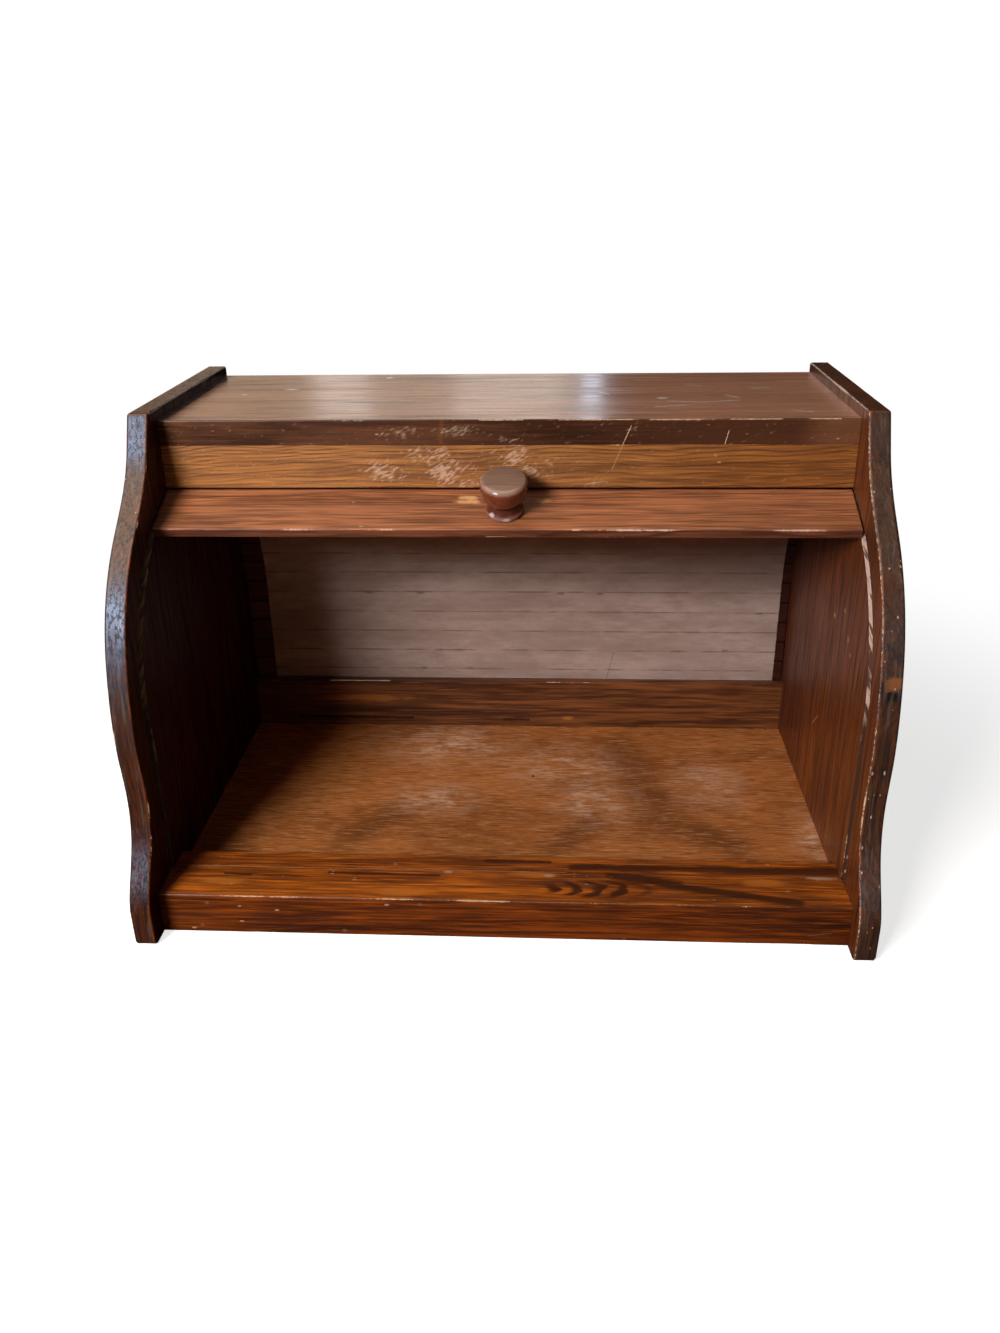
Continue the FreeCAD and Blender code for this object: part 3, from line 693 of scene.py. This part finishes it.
scuffs_and_painted_light(f, RUBBED, fray=500.0, marks=on_face("Y", FRONT_Y, [
    (-14, top, 12, top, 2.2), (34, top, 78, top, 2.2), (88, top, 112, top, 2.8), (136, top, 166, top, 2.2),
    (182, top, 200, top, 2), (77, 293, 72, 281, 0.8), (135, 290, 133, 281, 0.9)]))
scraped(f, (0.48, 0.31, 0.20), strength=0.7, marks=on_face("Y", FRONT_Y, [
    (-65, 289.5, 22, 6), (-28, 290, 20, 6), (78, 291, 8, 6), (4, 285, 14, 4)]))
fitted(top_wood, varnished(f, gloss=0.20, nicks=0.05, relief=0.08, pores=0.10), "top_board")


# ---------------------------------------------------------------- fascia
# A narrow pine board under the top's front edge, hollowed below so that the curtain clears it.
low, high = np.array(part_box("front_fascia"))
edge = points_of("front_fascia")
under = np.unique(np.round(edge[np.abs(edge[:, 0] - high[0]) < 0.01 * MM][:, 1:], 6), axis=0)
hollow = under[under[:, 1] < high[2] - 0.01 * MM]
hollow = hollow[np.argsort(hollow[:, 0])]
fascia_corners = [tuple(p) for p in hollow] + [(high[1], high[2]), (low[1], high[2])]
fascia_radii = [0.8] + [0.05] * (len(hollow) - 1) + [0.2] * 2
fascia_wood = board("front_fascia", eased(fascia_corners, fascia_radii),
                    [((low[1], low[2]), 1.0, 0.3, -0.2)], seed=47)
f = Finish("fascia_pine")
grain(f, "X", (0.05, 0.11), (0.03, 0.05), 2.4 * MM, (0.43, 0.176, 0.049), (0.17, 0.055, 0.014),
      (0.09, 0.030, 0.010), blotch=0.30, body=0.50, warp=1.5, hairs=0.40, streaks=0.45)
SCRAPE = (0.66, 0.41, 0.28)
scraped(f, SCRAPE, strength=0.75, marks=on_face("Y", FRONT_Y, [
    (-73, 266, 24, 11), (-46, 275, 24, 13), (-34, 265, 24, 16), (-20, 258, 18, 10), (4, 276, 22, 12),
    (21, 266, 18, 12), (54, 258, 12, 5)]))
scuffs_and_painted_light(f, SCRAPE, fray=500.0, strength=0.5, marks=on_face("Y", FRONT_Y, [
    (128, 275, 2, 2), (72, 281, 66, 266, 0.9), (62, 259, 50, 257, 1.2)], deep=1.0))
f.dim(f.step(f.place()["X"], 0.0, 0.16, 0.0, 0.9), (0.68, 0.56, 0.40))
fitted(fascia_wood, varnished(f, nicks=0.02), "front_fascia")


# ---------------------------------------------------------------- front rail
# The broad pine rail the curtain lands on, nailed between the toes, with a strip lowered behind the
# landing and its front arris rubbed pale.
low, high = np.array(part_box("front_rail"))
LEDGE_Y = -96.7 * MM
rail_profile = eased([(low[1], low[2]), (high[1], low[2]), (high[1], RAIL_LINE), (LEDGE_Y, RAIL_LINE),
                      (LEDGE_Y, high[2]), (low[1], high[2])],
                     [0.8, 0.2, 0.3, 0.1, 0.4, 0.9])
rail_wood = board("front_rail", rail_profile, [((low[1], high[2]), 1.2, 0.6, -0.05),
                                               ((LEDGE_Y, high[2]), 1.2, 0.5, -0.4),
                                               ((low[1], low[2]), 1.2, 0.4, -0.3)], seed=61)
f = Finish("rail_pine")
grain(f, "X", (-0.10, -0.05), (0.02, 0.03), 4.4 * MM, (0.66, 0.160, 0.014), (0.24, 0.050, 0.008),
      (0.075, 0.017, 0.004), lines=0.7, broad=110.0, blotch=0.75)
RAIL_Y, RAIL_TOP = float(low[1]), float(high[2])
FLAMES = (0.060, -0.114, RAIL_TOP)     # where the saw crossed the rings, which makes nested arcs
FLAME_PITCH, FLAME_BOW = 15 * MM, 150.0
flame = f.place(FLAMES)
arcs = f.plus(flame["X"], f.times(f.times(flame["Y"], flame["Y"]), FLAME_BOW))
arcs = f.plus(arcs, f.times(f.noise((60.0, 160.0, 60.0)), 0.016))
arcs = f.maths("FRACT", f.times(arcs, 1 / FLAME_PITCH))
arcs = f.times(f.times(f.step(arcs, 0.25, 0.62), f.step(arcs, 1.0, 0.86)),
               f.step(f.near(FLAMES, (0.052, 0.013, 0.004)), 0.10, 0.45))
f.lay(f.times(arcs, 0.92), (0.050, 0.012, 0.004))
scuffs_and_painted_light(f, (0.048, 0.012, 0.004), strength=0.88, drawn=7.0, marks=on_face("Z", RAIL_TOP, [
    (70, -99.5, 110, -108, 17), (-110, -102, -40, -103, 5), (105, -109, 181, -124, 15),
    (-176, -105, -160, -106, 5)]) + on_face("Z", RAIL_LINE, [
        (45, -90, 212, -90, 15), (-10, -85, 30, -85, 7)]))
scuffs_and_painted_light(f, (0.66, 0.20, 0.025), fray=90.0, strength=0.6, drawn=4.0, marks=on_face("Z", RAIL_TOP, [
    (-62, -121, 36, 6), (162, -104, 26, 7), (-175, -113, 26, 8), (20, -100, 30, 5)], deep=3.0))
front, ledge = RAIL_Y / MM, LEDGE_Y / MM
scuffs_and_painted_light(f, (0.55, 0.33, 0.20), fray=420.0, strength=0.75, marks=on_face("Z", RAIL_TOP, [
    (-182, -95.5, 24, 2.2), (30, -101, 6, 3), (-34, -99, 5, 3), (-206, ledge, 40, ledge, 3.2),
    (-200, front, 130, front, 1.9)]) + on_face("Z", RAIL_TOP, [(199, -98, 18, 4.5)], deep=3.0)
        + on_face("Y", RAIL_Y, [(-49, 25, 3, 2), (-182, 23, 2, 2), (-187, 6, 2, 2), (-97, 4, 3, 2),
                                (188, 8, 201, 10, 1.2)], deep=1.0))
f.dim(f.step(f.place()["Y"], RAIL_Y + 1.4 * MM, RAIL_Y + 0.5 * MM), (0.38, 0.31, 0.28))
fitted(rail_wood, varnished(f, gloss=0.26, nicks=0.06), "front_rail")


# ---------------------------------------------------------------- back rail
# A narrower, taller pine rail behind the curtain's foot, which ties the sides at the back.
low, high = np.array(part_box("back_rail"))
back_rail_wood = board("back_rail", square(low, high, [0.3, 0.3, 0.3, 0.9]),
                       [((low[1], high[2]), 1.0, 0.4, -0.25)], seed=73)
f = Finish("back_rail_pine")
grain(f, "X", (0.02, 0.16), (0.01, 0.02), 3.6 * MM, (0.185, 0.060, 0.018), (0.090, 0.027, 0.008),
      (0.026, 0.007, 0.002), streaks=0.8, broad=120.0)
BACK_RAIL_Y = float(low[1])
# Near-black streaks low on the back rail, just above the floor: partly a dark streak in the wood, partly
# painted shade along that join.
scuffs_and_painted_light(f, (0.010, 0.004, 0.002), fray=150.0, strength=0.85, marks=on_face("Y", BACK_RAIL_Y, [
    (-178, 24, -85, 24, 5), (-10, 23, 10, 23, 4)]))
scuffs_and_painted_light(f, (0.45, 0.15, 0.03), fray=200.0, strength=0.6, drawn=4.0, marks=on_face("Y", BACK_RAIL_Y, [
    (42, 25, 9, 3), (-120, 42, 60, 6)], deep=1.0))
top = float(high[2]) / MM
scuffs_and_painted_light(f, (0.80, 0.66, 0.52), fray=300.0, strength=0.8, drawn=5.0, marks=on_face("Y", BACK_RAIL_Y, [
    (-151, top, -102, top, 2.4)]))
fitted(back_rail_wood, varnished(f), "back_rail")


# ---------------------------------------------------------------- floor
# A thin plywood bottom let into grooves in the sides and rails, rubbed and dusty inside.
low, high = np.array(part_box("floor_board"))
floor_wood = board("floor_board", square(low, high, [0.2] * 4), pitch=4 * MM)
f = Finish("floor_ply")
FLOOR_Z = float(high[2])
FLOOR_BACK = 120.2                     # where the floor goes into the back rail, in millimetres
zone = f.noise((9.0, 24.0, 24.0), 3.0, 0.6, centre=(2.0, 2.0, 5.0))
shade = f.noise((60.0, 620.0, 620.0), 3.0, 0.62, centre=(4.0, 7.0, 1.0))
dash = f.noise((80.0, 850.0, 850.0), 3.0, 0.62)
f.colour = f.mix(f.step(zone, 0.35, 0.65), (0.33, 0.100, 0.022), (0.50, 0.165, 0.040))
f.height = f.plus(f.times(shade, -0.7), f.times(dash, 0.4))
shadow = marked(f, on_face("Z", FLOOR_Z, [
    (80, 90, 112, -20, 60), (128, -28, 152, -50, 46), (36, -52, 56, -30, 44), (-110, -52, -82, -12, 44)]))
f.lay(f.times(shadow, 0.62), (0.12, 0.034, 0.008))
f.lay(f.step(shade, 0.48, 0.66, 0.0, 0.62), (0.13, 0.038, 0.010))
f.lay(f.step(dash, 0.50, 0.68, 0.0, 0.62), (0.72, 0.34, 0.14))
dusty = marked(f, on_face("Z", FLOOR_Z, [
    (-52, 85, 85, 50), (-55, 6, 50, 36), (40, 52, 66, 56), (62, 4, 46, 48), (145, 30, 40, 50),
    (205, -36, 20, 50)], deep=3.0))
film = f.noise((75.0, 420.0, 420.0), 4.0, 0.70, centre=(6.0, 1.0, 2.0))
cloud = f.noise((60.0, 90.0, 90.0), 4.0, 0.65, centre=(1.0, 6.0, 2.0))
film = f.times(f.step(film, 0.40, 0.62, 0.12, 1.0), f.step(cloud, 0.38, 0.60, 0.15, 1.0))
f.lay(f.times(f.times(dusty, film), 0.95), (0.72, 0.45, 0.30))
# A small dark spot, and a dark line where the floor goes into the back rail: painted shade along that join.
scuffs_and_painted_light(f, (0.05, 0.018, 0.008), fray=500.0, marks=on_face("Z", FLOOR_Z, [
    (16, 39, 2, 3), (low[0] / MM, FLOOR_BACK, high[0] / MM, FLOOR_BACK, 5)]))
fitted(floor_wood, varnished(f, gloss=0.42, shine=0.2), "floor_board")


# ---------------------------------------------------------------- lead rail
# The wide flat strip at the curtain's free edge, drawn up under the fascia when the box is open.
SLAT_THICKNESS = 6.0 * MM
lead = points_of("lead_rail")[:, 1:]
lead_low = lead[np.argmin(lead[:, 1])]
lead_high = lead[np.argmax(lead[:, 0])]
LEAD_WIDTH = float(np.linalg.norm(lead_high - lead_low))
lead_up = (lead_high - lead_low) / LEAD_WIDTH
lead_out = np.array([-lead_up[1], lead_up[0]])


def on_strip(profile, base, up, out):
    """A profile drawn as (outwards, upwards) laid on a strip: base + outwards * out + upwards * up."""
    points, normals = profile
    return base + points[:, :1] * out + points[:, 1:] * up, normals[:, :1] * out + normals[:, 1:] * up


lead_profile = on_strip(eased([(0, 0), (SLAT_THICKNESS, 0), (SLAT_THICKNESS, LEAD_WIDTH), (0, LEAD_WIDTH)],
                              [0.3, 1.2, 1.2, 0.3]), lead_low, lead_up, lead_out)
lead_face = lead_low + lead_out * SLAT_THICKNESS
lead_wood = board("lead_rail", lead_profile,
                  [(lead_face, 1.5, 0.7, 0.08), (lead_low, 1.2, 0.4, -0.1)], seed=97)
f = Finish("lead_pine")
grain(f, "X", (-0.12, 0.17), (0.02, 0.02), 3.0 * MM, (0.50, 0.178, 0.070), (0.19, 0.052, 0.018),
      (0.075, 0.020, 0.008), body=0.45, warp=1.3, lines=0.8, hairs=0.5, streaks=0.6)
rise = f.vector("DOT_PRODUCT", f.where((0.0, *map(float, lead_low))), (0.0, *map(float, lead_up)), "Value")
f.dim(f.times(f.step(rise, 0.6 * MM, 0.2 * MM), 0.85), (0.30, 0.26, 0.34))
scuffs_and_painted_light(f, (0.85, 0.46, 0.20), fray=160.0, strength=0.8, marks=[
    ((x, *(lead_face + lead_up * rise)), (reach, 0.004, 0.004)) for x, rise, reach in (
        (-0.021, 0.030, 0.012), (-0.022, 0.026, 0.014), (0.024, 0.027, 0.010))])
lead_finish = varnished(f, bare=(0.60, 0.39, 0.30), nicks=0.02)
fitted(lead_wood, lead_finish, "lead_rail", "lead_rail")


# ---------------------------------------------------------------- slats
# Seventeen narrow pine slats, crowned in front and flat behind, glued edge to edge on the canvas.
f = Finish("slat_pine")
grain(f, "X", (0.3, 0.1), (0.03, 0.02), 3.0 * MM, (0.085, 0.022, 0.009), (0.060, 0.015, 0.007),
      (0.030, 0.008, 0.004), hairs=0.3, streaks=0.4)
f.dim(f.step(f.place()["X"], 0.18, 0.20), (0.45, 0.42, 0.40))
slat_finish = varnished(f)
ARCH = np.array([ARCH_Y, ARCH_Z])
SHOULDER_DROP, CROWN_DROP = 0.9 * MM, 0.25 * MM        # from the full thickness, at edge and crown
CROWN_FROM = 0.28                                      # of the width
slat_names = sorted(name for name in nodes if name.startswith("slat_"))


def glue_face(canvas_node):
    """The two ends of the face on which a canvas strip is glued, ordered along the track from the
    front: of the strip's four corners, the two on the side away from the arch's centre."""
    corners = np.unique(np.round(points_of(canvas_node)[:, 1:], 6), axis=0)
    middle = corners.mean(axis=0)
    out = np.linalg.svd(corners - middle)[2][1]
    out *= np.sign(out @ (middle - ARCH))
    up = np.array([out[1], -out[0]])
    pair = corners[(corners - middle) @ out > 0]
    return pair[np.argsort(pair @ up)]


for number, slat_name in enumerate(slat_names, 1):
    start, end = glue_face("canvas_%02d" % number)
    width = float(np.linalg.norm(end - start))
    up = (end - start) / width
    out = np.array([-up[1], up[0]])
    shoulder, crown = SLAT_THICKNESS - SHOULDER_DROP, SLAT_THICKNESS - CROWN_DROP
    corners = [(0, 0), (shoulder, 0), (crown, width * CROWN_FROM), (crown, width * (1 - CROWN_FROM)),
               (shoulder, width), (0, width)]
    profile = on_strip(eased(corners, [0.2, 0.7, 6, 6, 0.7, 0.2]), start, up, out)
    fitted(board(slat_name, profile, pitch=6 * MM), slat_finish, slat_name, slat_name)


# ---------------------------------------------------------------- canvas
# One cotton canvas, glued across the backs of the lead rail and the slats, which hinges them. Each
# slat carries its own width of it, and each width's front edge tucks under the one ahead of it.
CANVAS_LAP = 0.75 * MM         # how far a strip reaches past each of its slat's edges
CANVAS_THICK = 0.6 * MM


def canvas_strip(name, node, seed, laid):
    """A cloth strip as rings along X. Across the strip, u goes from -1 at the edge ahead to 1 at the
    edge behind; the inner skin dips by a smooth step to 0.34 mm at u = -1, so as to pass under the
    strip ahead, and waves by smooth noise in X. The mark `laid` is the distance along the cloth."""
    start, end = glue_face(node)
    width = float(np.linalg.norm(end - start)) + 2 * CANVAS_LAP
    up = (end - start) / np.linalg.norm(end - start)
    out = np.array([-up[1], up[0]])
    middle = (start + end) / 2 - out * CANVAS_THICK
    low, high = np.array(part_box(node))
    xs = np.linspace(low[0], high[0], 141)
    u = np.concatenate([[-1, -0.985], np.linspace(-0.93, 0.93, 13), [0.985, 1]])
    tuck = np.clip((-0.80 - u) / 0.16, 0, 1)
    tuck = tuck * tuck * (3 - 2 * tuck)
    cover = np.clip((u - 0.80) / 0.16, 0, 1)
    cover = cover * cover * (3 - 2 * cover)
    wave = uneven(xs, 45 * MM, seed)[:, None] * (1 - np.abs(u)) + uneven(xs, 18 * MM, seed + 1)[:, None] * 0.3
    inner = 0.06 * MM * (1 + wave) * (1 - tuck) + 0.34 * MM * tuck
    outer = np.broadcast_to(0.585 * MM - 0.38 * MM * cover - 0.10 * MM * tuck, inner.shape)
    reach = np.broadcast_to(u * width / 2, inner.shape)
    across = np.concatenate([reach, reach[:, ::-1]], axis=1)
    depth = np.concatenate([inner, outer[:, ::-1]], axis=1)
    points = middle + across[..., None] * up + depth[..., None] * out
    fray = uneven(np.arange(2 * len(u)) * 1.0, 3.0, seed + 2) * 0.5 * MM
    away = np.clip(1 - np.abs(xs - xs[[0, -1]][:, None]) / (8 * MM), 0, 1)
    edge_x = xs[:, None] + away[0][:, None] * np.abs(fray) - away[1][:, None] * np.abs(fray[::-1])
    rings = np.concatenate([edge_x[..., None], points], axis=2)
    piece = loft(name, rings, laid=laid + across)
    return piece, (float(high[0] - low[0]), width)


SLAT_PITCH, THREAD = 16.57 * MM, 0.62 * MM
f = Finish("canvas_cloth")
laid_at = f.mark("laid")
place = f.place()
warp_thread = f.maths("SINE", f.times(place["X"], 2 * math.pi / THREAD))
weft_thread = f.maths("SINE", f.times(laid_at, 2 * math.pi / THREAD))
weave = f.plus(f.times(warp_thread, weft_thread), f.noise((900.0, 900.0, 900.0)))
stain = f.noise((10.0, 14.0, 44.0), 4.0, 0.62)
mottle = f.noise((60.0, 120.0, 170.0), 4.0, 0.70, centre=(1.0, 5.0, 2.0))
seam = f.maths("ABSOLUTE", f.plus(f.maths("FRACT", f.plus(f.times(laid_at, 1 / SLAT_PITCH), 0.5)), -0.5))
patchy = f.noise((38.0, 38.0, 60.0), 3.0, 0.6, centre=(4.0, 4.0, 8.0))
f.colour = f.mix(f.step(stain, 0.3, 0.7), (0.41, 0.300, 0.265), (0.29, 0.200, 0.168))
f.lay(f.step(mottle, 0.38, 0.66, 0.0, 0.32), (0.20, 0.135, 0.108))
f.lay(f.times(f.step(seam, 0.055, 0.0), f.step(patchy, 0.40, 0.62, 0.12, 0.80)), (0.13, 0.075, 0.055))
BACK_Y = 127.0 * MM
scuffs_and_painted_light(f, (0.15, 0.10, 0.08), fray=300.0, strength=0.65, marks=on_face("Y", BACK_Y, [
    (-115, 131, 10, 2.2), (-75, 131, 6, 2.2), (35, 131, 6, 2.2), (66, 131, 6, 2.2), (-61, 82, 7, 2.2),
    (-46, 82, 9, 2.2), (-74, 66, 6, 2.2), (-37, 66, 7, 2.2), (190, 115, 7, 2.2), (166, 83, 6, 2.2),
    (78, 81, 73, 58, 1.4)], deep=4.0))
# Painted shade: the canvas goes darker and warmer towards the top, where the fascia and lead rail shade it.
f.dim(f.step(place["Z"], 0.150, 0.215), (0.92, 0.70, 0.42))
canvas_cloth = f.coat(0.9, weave, 0.35, 0.25 * MM, shine=0.0)

canvas_names = ["lead_canvas"] + ["canvas_%02d" % (k + 1) for k in range(len(slat_names))]
for number, (canvas_name, held_by) in enumerate(zip(canvas_names, ["lead_rail"] + slat_names)):
    strip, flat_size = canvas_strip(canvas_name + "_cloth", canvas_name, 700 + 5 * number,
                                    number * SLAT_PITCH)
    fitted(strip, canvas_cloth, canvas_name, held_by)


# ---------------------------------------------------------------- knob
# A turned mushroom knob with a flat face and a waisted neck, screwed to the lead rail from behind.
# Its neck carries painted shade, and its rim and foot painted highlights and sheen.
knob_rise = (points_of("knob")[:, 1:] - lead_low) @ lead_up
knob_seat = lead_low + lead_out * SLAT_THICKNESS + lead_up * (knob_rise.min() + knob_rise.max()) / 2
knob_across = float(points_of("knob")[:, 0].min() + points_of("knob")[:, 0].max()) / 2


def turned(name, line, across, seat, spokes=96):
    """A surface of revolution about the strip's outward direction: rings of a radius at a height."""
    around = np.linspace(0, 2 * math.pi, spokes, endpoint=False)
    radii, heights = line[:, :1], line[:, 1:]
    x = across + radii * np.cos(around)
    yz = seat + heights[..., None] * lead_out + (radii * np.sin(around))[..., None] * lead_up
    return loft(name, np.concatenate([x[..., None], yz], axis=2), wear=np.zeros(x.shape))


def smooth_profile(control, count):
    """A Catmull-Rom line through control points (radius, height)."""
    p = np.array(control, dtype=float)
    p = np.concatenate([[2 * p[0] - p[1]], p, [2 * p[-1] - p[-2]]])
    t = np.linspace(0, len(control) - 1 - 1e-9, count)
    k = t.astype(int)
    s = (t - k)[:, None]
    a, b, c, d = p[k], p[k + 1], p[k + 2], p[k + 3]
    square_part, cube_part = 2 * a - 5 * b + 4 * c - d, 3 * b - a - 3 * c + d
    return 0.5 * (2 * b + (c - a) * s + square_part * s ** 2 + cube_part * s ** 3)


knob_line = smooth_profile([
    (10.0, 0), (11.0, 0.6), (11.5, 2.0), (11.35, 3.6), (10.4, 5.2), (9.75, 6.6), (9.7, 8.2),
    (10.6, 9.9), (12.2, 11.6), (13.4, 14.0), (14.1, 17.2), (14.4, 20.4), (14.15, 22.4),
    (13.4, 23.7), (12.3, 24.35), (9.0, 24.7), (4.5, 24.92), (0.4, 25.0)], 100) * MM
knob_wood = turned("knob_wood", knob_line, knob_across, knob_seat)
f = Finish("knob_wood_stain")
grain(f, "X", (0.10, 0.40), (0.1, 0.1), 2.4 * MM, (0.30, 0.170, 0.118), (0.26, 0.140, 0.095),
      (0.17, 0.085, 0.055), streaks=0.3, hairs=0.15, lines=0.4)
from_seat, knob_axis = f.where((knob_across, *map(float, knob_seat))), (0.0, *map(float, lead_out))
rise = f.vector("DOT_PRODUCT", from_seat, knob_axis, "Value")
gone = f.vector("LENGTH", f.vector("CROSS_PRODUCT", from_seat, knob_axis), out="Value")
f.dim(f.step(rise, 23.6 * MM, 21.5 * MM), (0.60, 0.24, 0.14))
# Painted shade: the neck under the cap is laid nearly black.
waist = f.times(f.step(rise, 3.2 * MM, 5.5 * MM), f.step(rise, 13.5 * MM, 10.0 * MM))
f.lay(f.times(waist, 0.6), (0.030, 0.010, 0.007))
# Painted sheen: the foot is laid a pale pinkish grey.
f.lay(f.times(f.step(rise, 4.6 * MM, 3.2 * MM), 0.5), (0.34, 0.22, 0.19))
# Painted highlights: two pale spots low on the foot.
scuffs_and_painted_light(f, (0.80, 0.72, 0.68), fray=700.0, strength=0.6, marks=[
    ((knob_across + x * MM, *(knob_seat + lead_out * out * MM + lead_up * up * MM)),
     (long * MM, 2.6 * MM, 2.6 * MM))
    for x, out, up, long in ((-7.2, 4.0, -8.2, 4.2), (2.0, 2.2, -11.2, 4.6))])
# Painted highlight: a pale ring round the rim of the face.
painted_rim_highlight = f.times(f.step(gone, 11.8 * MM, 12.6 * MM), f.step(rise, 22.8 * MM, 23.6 * MM))
f.lay(f.times(painted_rim_highlight, 0.35), (0.40, 0.22, 0.16))
knob_finish = varnished(f, gloss=0.15, shine=0.8, pores=0.05)
fitted(knob_wood, knob_finish, "knob", "lead_rail")


# ---------------------------------------------------------------- back and fixings
# A thin board closes the back, held by steel brads. Wire nails through the sides hold the rails and
# the top, their heads set in and filled; one screw holds the knob.
f = Finish("back_board")
grain(f, "X", (0.05, 0.60), (0.05, 0.04), 7.0 * MM, (0.30, 0.150, 0.065), (0.20, 0.090, 0.036),
      (0.10, 0.042, 0.016), warp=2.5, blotch=0.4)
back_board = varnished(f, gloss=0.55, shine=0.25)

f = Finish("nail_steel")
rust = f.noise((500.0,) * 3, 3.0, 0.6)
nail_steel = f.surface(f.node("BsdfPrincipled", {
    "Base Color": f.mix(f.step(rust, 0.45, 0.7), (0.33, 0.31, 0.29), (0.16, 0.07, 0.03)),
    "Metallic": f.step(rust, 0.7, 0.45), "Roughness": f.step(rust, 0.3, 0.7, 0.32, 0.7)}).outputs[0])

f = Finish("nail_filler")
grit = f.noise((700.0,) * 3, 3.0, 0.6)
f.colour = f.mix(grit, (0.045, 0.018, 0.009), (0.14, 0.065, 0.032))
nail_filler = f.coat(0.6, grit, 0.4, 0.2 * MM)

for name, finish in (("back_panel", back_board), ("back_panel_brads", nail_steel),
                     ("side_nails", nail_steel), ("knob_screw", nail_steel)):
    nodes[name].data.materials.clear()
    nodes[name].data.materials.append(finish)

FILLING_RADIUS, FILLING_RISE = 1.9 * MM, 0.12 * MM
NAIL_PLACES = [(-118.6, 14.75), (-94.6, 23.35), (-8.3, 269.38), (18.65, 289.15), (68.7, 289.15),
               (118.75, 289.15), (130.2, 25.83), (130.2, 45.93)]
around = np.linspace(0, 2 * math.pi, 24, endpoint=False)
for side_name, sign in (("right", 1), ("left", -1)):
    for number, (y, z) in enumerate(NAIL_PLACES, 1):
        share = np.linspace(0.02, 1, 7)[:, None]
        wobble = 1 + 0.08 * np.sin(2 * around + number) + 0.05 * np.sin(3 * around + 2 * number * sign)
        radius = np.concatenate([share, share[::-1] * 0.98]) * FILLING_RADIUS * wobble
        rise = np.concatenate([FILLING_RISE * (1 - share ** 4), 0 * share - 0.25 * MM])
        x = np.broadcast_to(sign * (OUTER_X + rise), radius.shape)
        rings = np.stack([x, y * MM + radius * np.cos(around), z * MM + radius * np.sin(around)], axis=-1)
        filling = loft("nail_filling_%s_%d" % (side_name, number), rings)
        filling.data.materials.append(nail_filler)
        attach(filling, "carcass")
